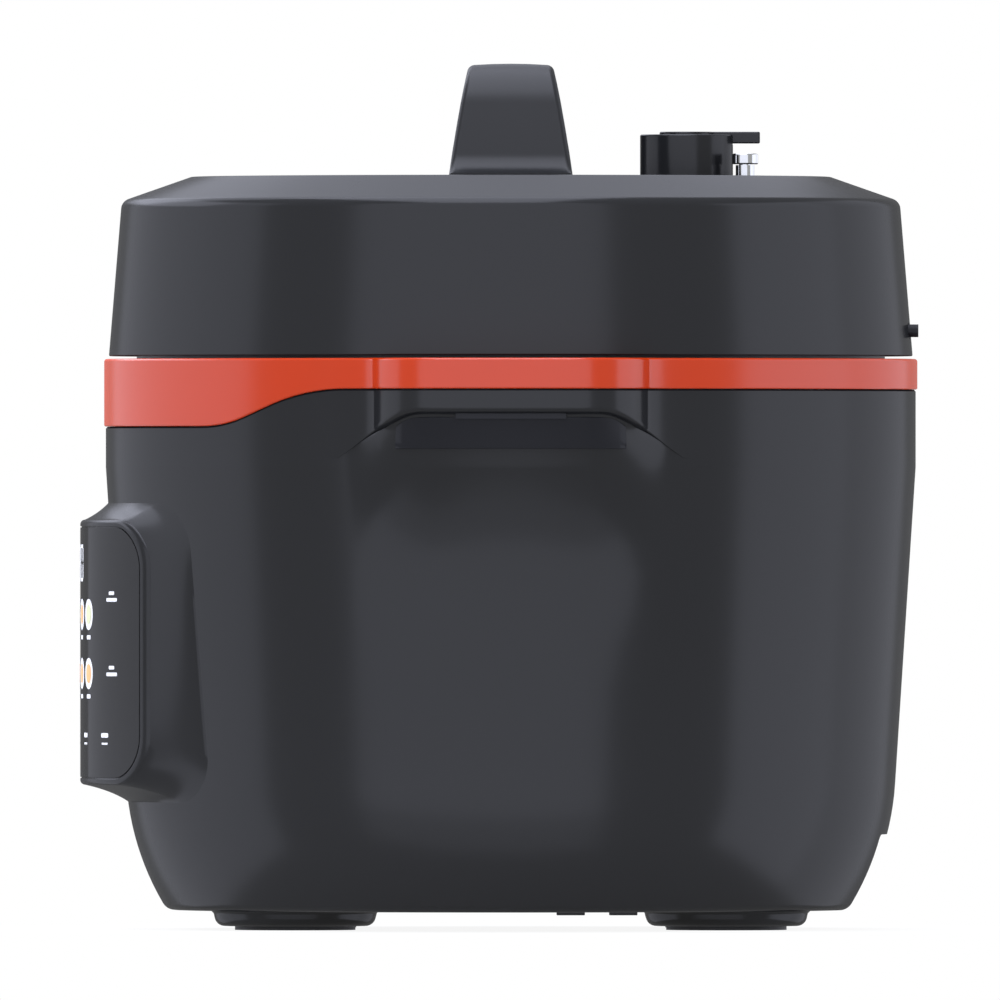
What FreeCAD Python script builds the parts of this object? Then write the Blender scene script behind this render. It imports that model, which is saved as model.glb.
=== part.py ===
import FreeCAD
import Part
import math
import os

# Electric pressure cooker with a turn-lock lid, sizes in millimetres.
# Up is +Z, the control panel faces -Y, and Z = 0 is the surface it stands on.
# Pieces are drawn about the round body's axis and set back at the end, so that
# the part's origin is the middle of its footprint.

Vector = FreeCAD.Vector

# Driving sizes: levels, from the standing surface upwards
PAD_DROP = 1.4
FOOT_HEIGHT = 5.4
BASE_EDGE = 2.4
BOARD_ROOM = 25.8
PLATE_LEG = 3.0
PLATE_THICKNESS = 10.8
POT_SEAT_GAP = 0.2
POT_HEIGHT = 153.5
RIM_ABOVE_POT = 1.7
LID_GAP = 1.8
LID_SIDE = 54.5
LID_CROWN = 8.8
HANDLE_HEIGHT = 40.4

# Driving sizes: radii, from the pot outwards
POT_RADIUS = 111.0
POT_WALL = 1.2
POT_PLAY = 2.3
POT_LIP = 6.3
POT_ROUND = 12.0
WELL_WALL = 1.0
SKIRT_GAP = 3.0
LID_STEEL = 1.2
TOOTH_GAP = 1.3
LUG_REACH = 6.9
LUG_GAP = 0.6
RING_WALL = 3.0
RIM_WIDTH = 11.1

# Driving sizes: housing, trim band and side grips
WALL = 3.0
WAIST_HEIGHT = 46.8
WAIST_INSET = 7.4
HEEL_RADIUS = 118.0
UPRIGHT_DEPTH = 39.2
BAND_PROUD = 0.6
BAND_SIDE = 11.5
BAND_FRONT = 24.8
BAND_EDGE_ROUND = 0.8
DECK = 2.5
SEAM_SETBACK = 42.9
SEAM_RUN = 29.0
SEAM_LOW_ROUND = 35.0
SEAM_HIGH_ROUND = 65.0
NECK_RISE = 4.3
LEDGE_THICKNESS = 3.5
FLANGE_REACH = 4.5
GRIP_PROUD = 17.8
GRIP_FLAT = 27.0
GRIP_ROUND = 18.0
GRIP_BLEND = 26.0
LIP_HEIGHT = 8.3
SCOOP_DEPTH = 26.0
SCOOP_RISE = 1.1
SCOOP_HEIGHT = 45.0
SCOOP_MOUTH_HALF = 44.0
SCOOP_MOUTH_SLOPE = 37.6
SCOOP_MOUTH_ROUND = 12.0
SCOOP_BACK_HALF = 38.0
SCOOP_BACK_SLOPE = 61.0
SCOOP_BACK_ROUND = 14.0
INSERT_HALF = 42.2
INSERT_HEIGHT = 11.6
INSERT_PROUD = 3.8

# Driving sizes: control pod
POD_PROUD = 9.4
POD_RISE = 36.5
POD_HEIGHT = 107.3
POD_HALF = 86.7
POD_FLARE = 10.2
POD_CORNER = 24.0
PANEL_RADIUS = 140.0
PANEL_RIM = 2.8
GLASS_HALF = 73.5
GLASS_HEIGHT = 90.4
GLASS_CORNER = 15.0
GLASS_THICKNESS = 2.0
PCB = 1.6
DISPLAY_BOARD_HALF = 36.0
DISPLAY_BOARD_HEIGHT = 76.0
DISPLAY_HALF = 24.0
DISPLAY_HEIGHT = 16.0
WIRE_HOLE = 6.0

# Driving sizes: base plate, feet and power inlet
FOOT_X = 48.5
FOOT_Y = 77.3
FOOT_RADIUS = 29.5
FOOT_DRAFT = 2.9
FOOT_ROUND = 3.5
PAD_RADIUS = 21.6
PAD_SEAT = 1.6
CATCH_WIDTH = 12.0
CATCH_LENGTH = 10.2
CATCH_DROP = 2.1
CATCH_PITCH = 18.9
CATCH_Y = 31.0
VENT_SLOTS = 9
VENT_WIDTH = 3.0
VENT_LENGTH = 34.0
VENT_PITCH = 7.5
UPSTAND = 6.0
POST_RADIUS = 5.0
POST_CIRCLE = 88.0
RECESS_HALF = 26.0
RECESS_HEIGHT = 24.8
RECESS_DEPTH = 10.0
INLET_HALF = 13.8
INLET_HEIGHT = 19.6
INLET_LENGTH = 22.0
INLET_FLANGE = 2.0
INLET_WALL = 2.0
INLET_PIN_DEPTH = 15.0
INLET_PIN_PITCH = 7.0
INLET_PIN_WIDTH = 4.0
INLET_PIN_THICKNESS = 2.0

# Driving sizes: heater, sensor and electrics
PLATE_RADIUS = 86.0
PLATE_BORE = 18.0
ELEMENT_CIRCLE = 62.0
ELEMENT_RADIUS = 4.0
ELEMENT_SINK = 2.8
ELEMENT_GAP = 30.0
TERMINAL_RADIUS = 3.0
TERMINAL_DROP = 9.0
LEG_RADIUS = 5.0
LEG_CIRCLE = 76.0
SENSOR_RADIUS = 13.0
SENSOR_WALL = 1.5
SENSOR_SKIRT = 9.7
SENSOR_STEM = 5.0
HOLDER_FLANGE = 1.5
HOLDER_BARREL = 9.0
HOLDER_DROP = 7.0
CLIP_THICKNESS = 2.0
SPRING_WIRE = 0.5
SPRING_PITCH = 2.3
BOARD_HALF = 50.0
BOARD_DEPTH = 60.0
BOARD_Y = -38.0
BOARD_LIFT = 5.0
COMPONENT_GAP = 5.0
RELAY_LENGTH = 22.0
RELAY_DEPTH = 18.0
RELAY_HEIGHT = 13.0
TRANSFORMER_LENGTH = 28.0
TRANSFORMER_DEPTH = 24.0
TRANSFORMER_HEIGHT = 15.0
CAPACITOR_RADIUS = 5.0
CAPACITOR_HEIGHT = 14.0
SWITCH_RADIUS = 12.0
SWITCH_HEIGHT = 12.0
FUSE_LENGTH = 26.0
FUSE_RADIUS = 3.0

# Driving sizes: bayonet and lid
LOBES = 6
LOBE_SWEEP = 27.0
RING_ABOVE_RIM = 3.2
TOOTH_THICKNESS = 1.8
LUG_PLAY = 0.4
LUG_THICKNESS = 3.2
LID_INSET = 1.1
LID_SHOULDER_INSET = 4.6
LID_CROWN_WIDTH = 25.1
LID_SHOULDER_ROUND = 6.0
PLATE_PLAY = 0.5
SEAL_WIDTH = 7.8
SEAL_ROUND = 1.2
SEAL_GROOVE = 3.0
RACK_WIDTH = 1.6
RACK_HEIGHT = 3.0
STUD_RADIUS = 3.0
STUD_LENGTH = 12.0
STUD_CIRCLE = 98.0
BOSS_RADIUS = 6.0

# Driving sizes: lid handle
HANDLE_HALF = 66.0
HANDLE_FOOT = 1.9
HANDLE_FLARE = 12.0
HANDLE_FLARE_ROUND = 9.0
HANDLE_LEAN = 8.0
HANDLE_TOP_ROUND = 18.0
HANDLE_BASE_WIDTH = 44.4
HANDLE_TOP_WIDTH = 31.4
HANDLE_EDGE_ROUND = 2.5
GRIP_GAP_HALF = 34.0
GRIP_GAP_LEAN = 3.0
GRIP_GAP_HEIGHT = 26.0
GRIP_GAP_ROUND = 12.0
LINER = 1.6
LINER_INSET = 1.5
HANDLE_SCREW_X = 47.0
HANDLE_SCREW_Y = 9.0

# Driving sizes: steam valve, float and lid lock
STEAM_Y = 63.2
COLLAR_RADIUS = 16.4
COLLAR_WALL = 2.0
COLLAR_HEIGHT = 15.2
COLLAR_FLOOR = 2.0
SPIGOT_RADIUS = 9.5
LEVER_RISE = 12.3
LEVER_THICKNESS = 4.0
LEVER_HUB = 9.7
LEVER_REACH = 26.4
LEVER_WIDTH = 11.0
LEVER_SWING = 40.0
PIPE_RADIUS = 4.0
PIPE_BORE = 1.6
PIPE_FLANGE = 8.0
PIPE_FLANGE_THICKNESS = 1.4
WEIGHT_RADIUS = 7.8
WEIGHT_LIFT = 0.8
WEIGHT_CAP = 1.6
NUT_RADIUS = 7.5
NUT_HEIGHT = 5.0
CAP_DEPTH = 6.4
CAP_WALL = 1.2
CAP_SLOTS = 8
CAP_SLOT_WIDTH = 2.4
FLOAT_X = 14.0
FLOAT_Y = 84.2
FLOAT_HEAD = 4.7
FLOAT_HEAD_HEIGHT = 3.9
FLOAT_STEM = 2.2
FLOAT_TRAVEL = 4.0
SLEEVE_RADIUS = 3.4
SLEEVE_RISE = 4.1
FLOAT_SEAL_RADIUS = 5.5
FLOAT_SEAL_HEIGHT = 3.0
LOCK_RISE = 7.9
LOCK_RADIUS = 2.3
LOCK_PROUD = 2.6
LOCK_GAP = 5.5
LOCK_COLLAR = 4.2
LOCK_COLLAR_SETBACK = 18.0
GUIDE_HALF = 6.0
GUIDE_LENGTH = 8.0
GUIDE_SETBACK = 38.5

# Driving sizes: fasteners and clearances
SCREW_RADIUS = 1.8
SCREW_HEAD = 3.6
SCREW_HEAD_HEIGHT = 2.4
SCREW_BITE = 9.0
FIT = 0.1
SEAT = 0.2
EASE = 0.3
RING_EASE = 0.7

# Levels worked out from the driving sizes
FOOT_Z = PAD_DROP
BASE_Z = FOOT_Z + FOOT_HEIGHT
HOUSING_Z = BASE_Z + BASE_EDGE
WELL_Z = HOUSING_Z + BOARD_ROOM
WELL_FLOOR_Z = WELL_Z + WELL_WALL
PLATE_Z = WELL_FLOOR_Z + PLATE_LEG
PLATE_TOP_Z = PLATE_Z + PLATE_THICKNESS
POT_Z = PLATE_TOP_Z + POT_SEAT_GAP
POT_TOP_Z = POT_Z + POT_HEIGHT
RIM_Z = POT_TOP_Z + RIM_ABOVE_POT
SEAM_Z = RIM_Z - BAND_SIDE
FRONT_SEAM_Z = RIM_Z - BAND_FRONT
LIP_Z = SEAM_Z - LIP_HEIGHT
UPRIGHT_Z = RIM_Z - UPRIGHT_DEPTH
WAIST_Z = HOUSING_Z + WAIST_HEIGHT
NECK_Z = SEAM_Z + NECK_RISE
FLANGE_Z = NECK_Z + WELL_WALL
RING_TOP_Z = RIM_Z + RING_ABOVE_RIM
TOOTH_Z = RING_TOP_Z - TOOTH_THICKNESS
LUG_TOP_Z = TOOTH_Z - LUG_PLAY
LUG_Z = LUG_TOP_Z - LUG_THICKNESS
LID_PLATE_Z = RING_TOP_Z + PLATE_PLAY
LID_PLATE_TOP_Z = LID_PLATE_Z + LID_STEEL
LID_Z = RIM_Z + LID_GAP
SHOULDER_Z = LID_Z + LID_SIDE
LID_TOP_Z = SHOULDER_Z + LID_CROWN
LID_INNER_Z = LID_TOP_Z - WALL
HANDLE_TOP_Z = LID_TOP_Z + HANDLE_HEIGHT
LEVER_Z = LID_TOP_Z + LEVER_RISE
LOCK_Z = LID_Z + LOCK_RISE

# Radii worked out from the driving sizes
POT_OUTER = POT_RADIUS + POT_WALL
POT_LIP_RADIUS = POT_OUTER + POT_LIP
WELL_RADIUS = POT_OUTER + POT_PLAY
WELL_OUTER = WELL_RADIUS + WELL_WALL
SKIRT_RADIUS = POT_LIP_RADIUS + SKIRT_GAP
SKIRT_OUTER = SKIRT_RADIUS + LID_STEEL
TOOTH_RADIUS = SKIRT_OUTER + TOOTH_GAP
LUG_RADIUS = TOOTH_RADIUS + LUG_REACH
RING_RADIUS = LUG_RADIUS + LUG_GAP
RING_OUTER = RING_RADIUS + RING_WALL
BODY_RADIUS = RING_OUTER + RIM_WIDTH
NECK_OUTER = BODY_RADIUS - WALL
NECK_RADIUS = NECK_OUTER - WALL
FLANGE_RADIUS = RING_OUTER + FLANGE_REACH
BAND_RADIUS = BODY_RADIUS + BAND_PROUD
BAND_WALL = BAND_PROUD + WALL - EASE
GRIP_REACH = BAND_RADIUS + GRIP_PROUD
LID_RADIUS = BODY_RADIUS - LID_INSET
SHOULDER_RADIUS = LID_RADIUS - LID_SHOULDER_INSET
CROWN_RADIUS = SHOULDER_RADIUS - LID_CROWN_WIDTH
WAIST_RADIUS = BODY_RADIUS - WAIST_INSET

# Places worked out from the driving sizes
TAPER = math.atan2(WAIST_INSET, UPRIGHT_Z - WAIST_Z)
HEEL_CENTRE_R = WAIST_RADIUS - HEEL_RADIUS * math.cos(TAPER)
HEEL_CENTRE_Z = WAIST_Z + HEEL_RADIUS * math.sin(TAPER)
SEAM_LOW_Y = SEAM_SETBACK - BODY_RADIUS
SEAM_HIGH_Y = SEAM_LOW_Y + SEAM_RUN
POD_FRONT_Y = -BODY_RADIUS - POD_PROUD
PANEL_AXIS_Y = POD_FRONT_Y + PANEL_RADIUS
POD_LOW_Z = HOUSING_Z + POD_RISE
POD_TOP_Z = POD_LOW_Z + POD_HEIGHT
GLASS_Z = (POD_LOW_Z + POD_TOP_Z - GLASS_HEIGHT) / 2
GLASS_TOP_Z = GLASS_Z + GLASS_HEIGHT
POD_MIDDLE_Z = (POD_LOW_Z + POD_TOP_Z) / 2
BOARD_FACE_Y = POD_FRONT_Y + POD_PROUD - 2 * SEAT
RECESS_TOP_Z = HOUSING_Z + RECESS_HEIGHT
INLET_Z = HOUSING_Z + RECESS_HEIGHT / 2
BOARD_Z = HOUSING_Z + BOARD_LIFT
LEG_TURN = 360 / 3
LOBE_TURN = 360 / LOBES
LOCK_END_Y = LID_RADIUS - LID_SHOULDER_INSET * LOCK_RISE / LID_SIDE + LOCK_PROUD
LOCK_START_Y = FLOAT_Y + FLOAT_STEM + LOCK_GAP
GUIDE_Y = LOCK_END_Y - GUIDE_SETBACK
LOCK_COLLAR_Y = LOCK_END_Y - LOCK_COLLAR_SETBACK
FOOTPRINT_SHIFT = (-POD_FRONT_Y - LOCK_END_Y) / 2
FAR = 2 * (BODY_RADIUS + LID_TOP_Z)


def heel_end_radius(inset):
    """Outside radius of the housing at its bottom edge, drawn in by inset."""
    radius = HEEL_RADIUS - inset
    drop = HEEL_CENTRE_Z - HOUSING_Z
    return HEEL_CENTRE_R + math.sqrt(radius ** 2 - drop ** 2)


# Shape helpers

def corner_wire(points, place):
    """Closed wire through (u, v) or (u, v, corner radius) points."""
    flat = [Vector(point[0], point[1], 0) for point in points]
    corners = []
    for index, corner in enumerate(flat):
        radius = points[index][2] if len(points[index]) > 2 else 0
        if radius == 0:
            corners.append([corner])
            continue
        back = (flat[index - 1] - corner).normalize()
        ahead = (flat[(index + 1) % len(flat)] - corner).normalize()
        half = back.getAngle(ahead) / 2
        bisector = (back + ahead).normalize()
        middle = corner + bisector * (radius / math.sin(half) - radius)
        reach = radius / math.tan(half)
        corners.append([corner + back * reach, middle, corner + ahead * reach])
    edges = []
    for index, corner in enumerate(corners):
        spots = [place(spot.x, spot.y) for spot in corner]
        if len(spots) == 3:
            edges.append(Part.Arc(spots[0], spots[1], spots[2]).toShape())
        following = corners[(index + 1) % len(corners)][0]
        start = corner[-1]
        if start.distanceToPoint(following) > 1e-6:
            end = place(following.x, following.y)
            edges.append(Part.LineSegment(spots[-1], end).toShape())
    return Part.Wire(edges)


def lathe(points, degrees=360):
    """Solid turned about the Z axis from an outline of (radius, height) points."""
    wire = corner_wire(points, lambda radius, height: Vector(radius, 0, height))
    return Part.Face(wire).revolve(Vector(0, 0, 0), Vector(0, 0, 1), degrees)


def prism_x(points, start, end):
    """Solid with an outline of (y, z) points, from x = start to x = end."""
    wire = corner_wire(points, lambda y, z: Vector(start, y, z))
    return Part.Face(wire).extrude(Vector(end - start, 0, 0))


def prism_y(points, start, end):
    """Solid with an outline of (x, z) points, from y = start to y = end."""
    wire = corner_wire(points, lambda x, z: Vector(x, start, z))
    return Part.Face(wire).extrude(Vector(0, end - start, 0))


def disc(radius, low, high, x=0, y=0):
    """Upright cylinder between two levels."""
    return Part.makeCylinder(radius, high - low, Vector(x, y, low))


def ring(inner, outer, low, high):
    """Upright tube between two levels."""
    return disc(outer, low, high).cut(disc(inner, low, high))


def rod(radius, start, end, x, z):
    """Cylinder lying along Y."""
    return Part.makeCylinder(radius, end - start, Vector(x, start, z), Vector(0, 1, 0))


def block(low_x, high_x, low_y, high_y, low_z, high_z):
    """Box between two corners."""
    corner = Vector(low_x, low_y, low_z)
    return Part.makeBox(high_x - low_x, high_y - low_y, high_z - low_z, corner)


def moved(shape, x=0, y=0, z=0):
    """Copy of a shape, shifted."""
    copy = shape.copy()
    copy.translate(Vector(x, y, z))
    return copy


def turned(shape, degrees):
    """Copy of a shape, turned about the Z axis."""
    copy = shape.copy()
    copy.rotate(Vector(0, 0, 0), Vector(0, 0, 1), degrees)
    return copy


def mirrored(shape):
    """Copy of a shape on the other side of the middle plane."""
    return shape.mirror(Vector(0, 0, 0), Vector(1, 0, 0))


def corners_of(x, y):
    """Four places at plus and minus x and y."""
    return [(sx * x, sy * y) for sx in (-1, 1) for sy in (-1, 1)]


def screw(head_z, tip_z, x, y):
    """Upright screw whose head's outer face is at head_z."""
    up = 1 if tip_z > head_z else -1
    under_z = head_z + up * SCREW_HEAD_HEIGHT
    head = disc(SCREW_HEAD, min(head_z, under_z), max(head_z, under_z), x, y)
    return head.fuse(disc(SCREW_RADIUS, min(under_z, tip_z), max(under_z, tip_z), x, y))


def coil(radius, length):
    """Helical spring along +Z from the origin, one tube along quarter-turn arcs."""
    turns = round(length / SPRING_PITCH)
    rise = (length - 2 * SPRING_WIRE) / (4 * turns)

    def spot(quarter):
        angle = quarter * math.pi / 2
        height = SPRING_WIRE + rise * quarter
        return Vector(radius * math.cos(angle), radius * math.sin(angle), height)

    arcs = []
    for quarter in range(4 * turns):
        arcs.append(Part.Arc(spot(quarter), spot(quarter + 0.5), spot(quarter + 1)).toShape())
    path = Part.Wire(arcs)
    start = arcs[0].tangentAt(arcs[0].FirstParameter)
    section = Part.Wire([Part.makeCircle(SPRING_WIRE, spot(0), start)])
    return path.makePipeShell([section], True, False)


def group(shapes):
    """Several separate solids of one kind."""
    return Part.makeCompound(shapes)


# Housing, trim band and side grips

def envelope(inset, low_z, top_z):
    """The housing's round outside as a solid, drawn in by inset."""
    heel = HEEL_RADIUS - inset
    end = math.asin((HEEL_CENTRE_Z - low_z) / heel)

    def on_heel(angle):
        radius = HEEL_CENTRE_R + heel * math.cos(angle)
        return Vector(radius, 0, HEEL_CENTRE_Z - heel * math.sin(angle))

    bottom = on_heel(end)
    waist = on_heel(TAPER)
    upright = Vector(BODY_RADIUS - inset, 0, UPRIGHT_Z)
    top = Vector(BODY_RADIUS - inset, 0, top_z)
    edges = [Part.Arc(bottom, on_heel((end + TAPER) / 2), waist).toShape()]
    outline = [waist, upright, top, Vector(0, 0, top_z), Vector(0, 0, low_z), bottom]
    for start, finish in zip(outline, outline[1:]):
        if start.distanceToPoint(finish) > 1e-6:
            edges.append(Part.LineSegment(start, finish).toShape())
    face = Part.Face(Part.Wire(edges))
    return face.revolve(Vector(0, 0, 0), Vector(0, 0, 1), 360)


def seam_block(lift):
    """Everything above the line where the trim band meets the housing."""
    low_z = FRONT_SEAM_Z + lift
    high_z = SEAM_Z + lift
    outline = [
        (-FAR, low_z),
        (SEAM_LOW_Y, low_z, SEAM_LOW_ROUND),
        (SEAM_HIGH_Y, high_z, SEAM_HIGH_ROUND),
        (FAR, high_z),
        (FAR, FAR),
        (-FAR, FAR),
    ]
    return prism_x(outline, -FAR, FAR)


def grip_outline(inset):
    """Plan of the rim with its two side grips, drawn in by inset, as a face at Z = 0."""
    body = BAND_RADIUS - inset
    nose = GRIP_ROUND - inset
    blend = GRIP_BLEND + inset
    nose_centre = Vector(GRIP_REACH - GRIP_ROUND, GRIP_FLAT, 0)
    to_body = BAND_RADIUS + GRIP_BLEND
    to_nose = GRIP_ROUND + GRIP_BLEND
    span = nose_centre.Length
    along = (span ** 2 + to_body ** 2 - to_nose ** 2) / (2 * span)
    across = math.sqrt(to_body ** 2 - along ** 2)
    heading = math.atan2(nose_centre.y, nose_centre.x)
    unit = Vector(math.cos(heading), math.sin(heading), 0)
    side = Vector(-unit.y, unit.x, 0)
    blend_centre = unit * along + side * across
    leave = Vector(blend_centre).normalize() * body
    join = nose_centre + (blend_centre - nose_centre).normalize() * nose
    flat = Vector(nose_centre.x + nose, nose_centre.y, 0)

    def middle(centre, radius, first, second):
        return centre + ((first + second) * 0.5 - centre).normalize() * radius

    sweep_in = middle(blend_centre, blend, leave, join)
    sweep_out = middle(nose_centre, nose, join, flat)

    def flip(spot, across_x, across_y):
        return Vector(spot.x * across_x, spot.y * across_y, 0)

    edges = []
    for across_x in (1, -1):
        for across_y in (1, -1):
            spots = [flip(spot, across_x, across_y) for spot in (leave, sweep_in, join, sweep_out, flat)]
            edges.append(Part.Arc(spots[0], spots[1], spots[2]).toShape())
            edges.append(Part.Arc(spots[2], spots[3], spots[4]).toShape())
        edges.append(Part.LineSegment(flip(flat, across_x, 1), flip(flat, across_x, -1)).toShape())
    for across_y in (1, -1):
        far_side = Vector(0, body * across_y, 0)
        edges.append(Part.Arc(flip(leave, 1, across_y), far_side, flip(leave, -1, across_y)).toShape())
    return Part.Face(Part.Wire(Part.__sortEdges__(edges)))


def grip_prism(inset, low_z, high_z):
    """The rim's plan with its grips as a solid between two levels."""
    return moved(grip_outline(inset), z=low_z).extrude(Vector(0, 0, high_z - low_z))


def scoop():
    """Flared hollow below the right grip's lip, where the fingers go."""
    def arch(x, half, top_z, slope, corner):
        foot_half = half + SCOOP_HEIGHT / math.tan(math.radians(slope))
        foot_z = top_z - SCOOP_HEIGHT
        outline = [(-half, top_z, corner), (half, top_z, corner), (foot_half, foot_z), (-foot_half, foot_z)]
        return corner_wire(outline, lambda y, z: Vector(x, y, z))

    mouth_x = GRIP_REACH + WALL
    mouth = arch(mouth_x, SCOOP_MOUTH_HALF, LIP_Z, SCOOP_MOUTH_SLOPE, SCOOP_MOUTH_ROUND)
    back_x = mouth_x - SCOOP_DEPTH
    back = arch(back_x, SCOOP_BACK_HALF, LIP_Z - SCOOP_RISE, SCOOP_BACK_SLOPE, SCOOP_BACK_ROUND)
    return Part.makeLoft([mouth, back], True, True)


def outer_housing():
    """Tapered outer shell with a rounded heel, notched at the rear for the power recess."""
    shell = envelope(0, HOUSING_Z, UPRIGHT_Z).cut(envelope(WALL, HOUSING_Z, UPRIGHT_Z))
    wire_hole = rod(WIRE_HOLE, POD_FRONT_Y, POD_FRONT_Y + FAR / 4, 0, POD_MIDDLE_Z)
    return shell.cut([recess_block(FIT), wire_hole]).removeSplitter()


def recess_block(grow):
    """The power recess with its walls as a block that runs out through the rear, grown on every side."""
    return block(-RECESS_HALF - WALL - grow, RECESS_HALF + WALL + grow, recess_floor_y() - WALL - grow, FAR,
                 HOUSING_Z, RECESS_TOP_Z + WALL + grow)


def power_recess():
    """Walls round the mains inlet, flush with the outside of the shell."""
    tray = recess_block(0).common(envelope(0, HOUSING_Z, UPRIGHT_Z))
    floor_y = recess_floor_y()
    recess = block(-RECESS_HALF, RECESS_HALF, floor_y, FAR, 0, RECESS_TOP_Z)
    window = block(-INLET_HALF - FIT, INLET_HALF + FIT, 0, floor_y,
                   INLET_Z - INLET_HEIGHT / 2 - FIT, INLET_Z + INLET_HEIGHT / 2 + FIT)
    return tray.cut([recess, window])


def grip_collar():
    """Upper part of the shell with the side grips and the neck that carries the well."""
    collar = grip_prism(BAND_PROUD, UPRIGHT_Z, SEAM_Z)
    finger_room = scoop().cut(disc(BODY_RADIUS, 0, FAR))
    grip_hollow = grip_prism(BAND_PROUD + WALL, LIP_Z + WALL, SEAM_Z)
    grip_hollow = grip_hollow.cut(disc(BODY_RADIUS, 0, FAR))
    above_seam = seam_block(0).cut(disc(NECK_OUTER, 0, FAR))
    inside = disc(NECK_OUTER, UPRIGHT_Z, SEAM_Z)
    collar = collar.cut([finger_room, mirrored(finger_room), grip_hollow, above_seam, inside])
    neck = lathe([
        (NECK_OUTER + FIT, FRONT_SEAM_Z - WALL),
        (NECK_OUTER + FIT, FRONT_SEAM_Z - FIT),
        (NECK_OUTER, FRONT_SEAM_Z - FIT),
        (NECK_OUTER, NECK_Z),
        (RING_RADIUS, NECK_Z),
        (RING_RADIUS, NECK_Z - LEDGE_THICKNESS),
        (NECK_RADIUS, NECK_Z - LEDGE_THICKNESS),
        (NECK_RADIUS, FRONT_SEAM_Z - WALL),
    ])
    return collar.fuse(neck).removeSplitter()


def recess_floor_y():
    """Back wall of the power recess."""
    return heel_end_radius(0) - RECESS_DEPTH


def trim_band():
    """Coloured rim with a flat deck, deeper at the front, running round both grips."""
    low_z = FRONT_SEAM_Z
    band = grip_prism(0, low_z, RIM_Z)
    band = band.cut(grip_prism(BAND_WALL, low_z, RIM_Z - DECK))
    band = band.cut(disc(RING_OUTER + RING_EASE, low_z, RIM_Z))
    band = band.common(seam_block(FIT))
    top_edges = [edge for edge in band.Edges if outer_top_edge(edge)]
    return band.makeFillet(BAND_EDGE_ROUND, top_edges)


def outer_top_edge(edge):
    """Whether an edge lies on the rim's outer top corner."""
    box = edge.BoundBox
    if box.ZMin < RIM_Z - FIT:
        return False
    middle = edge.valueAt((edge.FirstParameter + edge.LastParameter) / 2)
    return math.hypot(middle.x, middle.y) > RING_OUTER + RIM_WIDTH / 2


def handle_insert():
    """Curved plate that closes the right grip's hollow behind the fingers."""
    top_z = LIP_Z - SCOOP_RISE - EASE
    low_z = top_z - INSERT_HEIGHT
    inner = BODY_RADIUS + SEAT
    plate = ring(inner, inner + INSERT_PROUD, low_z, top_z)
    plate = plate.common(block(0, FAR, -INSERT_HALF, INSERT_HALF, low_z, top_z))
    return plate.common(moved(scoop(), z=-EASE))


# Control pod

def pod_outline(half, low_z, high_z, corner):
    """Rounded rectangle of (x, z) points about the middle plane."""
    return [(-half, low_z, corner), (half, low_z, corner), (half, high_z, corner), (-half, high_z, corner)]


def panel_shell(outer_inset, depth):
    """Part of the curved panel's thickness, measured in from its front face."""
    outer = disc(PANEL_RADIUS - outer_inset, 0, FAR, 0, PANEL_AXIS_Y)
    return outer.cut(disc(PANEL_RADIUS - depth, 0, FAR, 0, PANEL_AXIS_Y))


def control_pod():
    """Bulging frame that holds the touch panel, flared out onto the body."""
    front_half = GLASS_HALF + PANEL_RIM
    front_low = GLASS_Z - PANEL_RIM / 2
    front_high = GLASS_TOP_Z + PANEL_RIM / 2
    front_corner = GLASS_CORNER + PANEL_RIM
    foot_y = -math.sqrt((BODY_RADIUS - WAIST_INSET / 2) ** 2 - POD_HALF ** 2)
    flare_half = POD_HALF - front_half
    sections = [
        (foot_y + POD_FLARE, POD_HALF + flare_half / 2, POD_LOW_Z, POD_TOP_Z, POD_CORNER),
        (foot_y - POD_FLARE, POD_HALF - flare_half / 2, POD_LOW_Z, POD_TOP_Z, POD_CORNER),
        (POD_FRONT_Y + 2 * POD_FLARE, front_half + flare_half / 8, POD_LOW_Z, POD_TOP_Z, POD_CORNER),
        (POD_FRONT_Y + POD_FLARE, front_half, POD_LOW_Z, POD_TOP_Z, POD_CORNER),
        (POD_FRONT_Y - SEAT, front_half, front_low, front_high, front_corner),
    ]
    wires = []
    for y, half, low_z, high_z, corner in sections:
        wires.append(corner_wire(pod_outline(half, low_z, high_z, corner), lambda x, z, y=y: Vector(x, y, z)))
    pod = Part.makeLoft(wires, True, True)
    pod = pod.common(disc(PANEL_RADIUS, 0, FAR, 0, PANEL_AXIS_Y))
    pod = pod.cut(envelope(-SEAT, HOUSING_Z, UPRIGHT_Z))
    pocket = glass_prism(SEAT).common(panel_shell(-WALL, GLASS_THICKNESS + FIT))
    room = prism_y(pod_outline(DISPLAY_BOARD_HALF + WALL, POD_MIDDLE_Z - DISPLAY_BOARD_HEIGHT / 2 - WALL,
                               POD_MIDDLE_Z + DISPLAY_BOARD_HEIGHT / 2 + WALL, WALL), -FAR, BOARD_FACE_Y)
    wire_hole = rod(WIRE_HOLE, POD_FRONT_Y, 0, 0, POD_MIDDLE_Z)
    return pod.cut([pocket, room, wire_hole])


def glass_prism(grow):
    """The panel's outline, grown on every side, as a bar along Y."""
    outline = pod_outline(GLASS_HALF + grow, GLASS_Z - grow, GLASS_TOP_Z + grow, GLASS_CORNER + grow)
    return prism_y(outline, -FAR, PANEL_AXIS_Y)


def control_glass():
    """Curved touch panel."""
    return glass_prism(0).common(panel_shell(0, GLASS_THICKNESS))


def display_board():
    """Circuit board flat on the pod's floor behind the panel."""
    return block(-DISPLAY_BOARD_HALF, DISPLAY_BOARD_HALF, BOARD_FACE_Y - PCB, BOARD_FACE_Y,
                 POD_MIDDLE_Z - DISPLAY_BOARD_HEIGHT / 2, POD_MIDDLE_Z + DISPLAY_BOARD_HEIGHT / 2)


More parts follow.
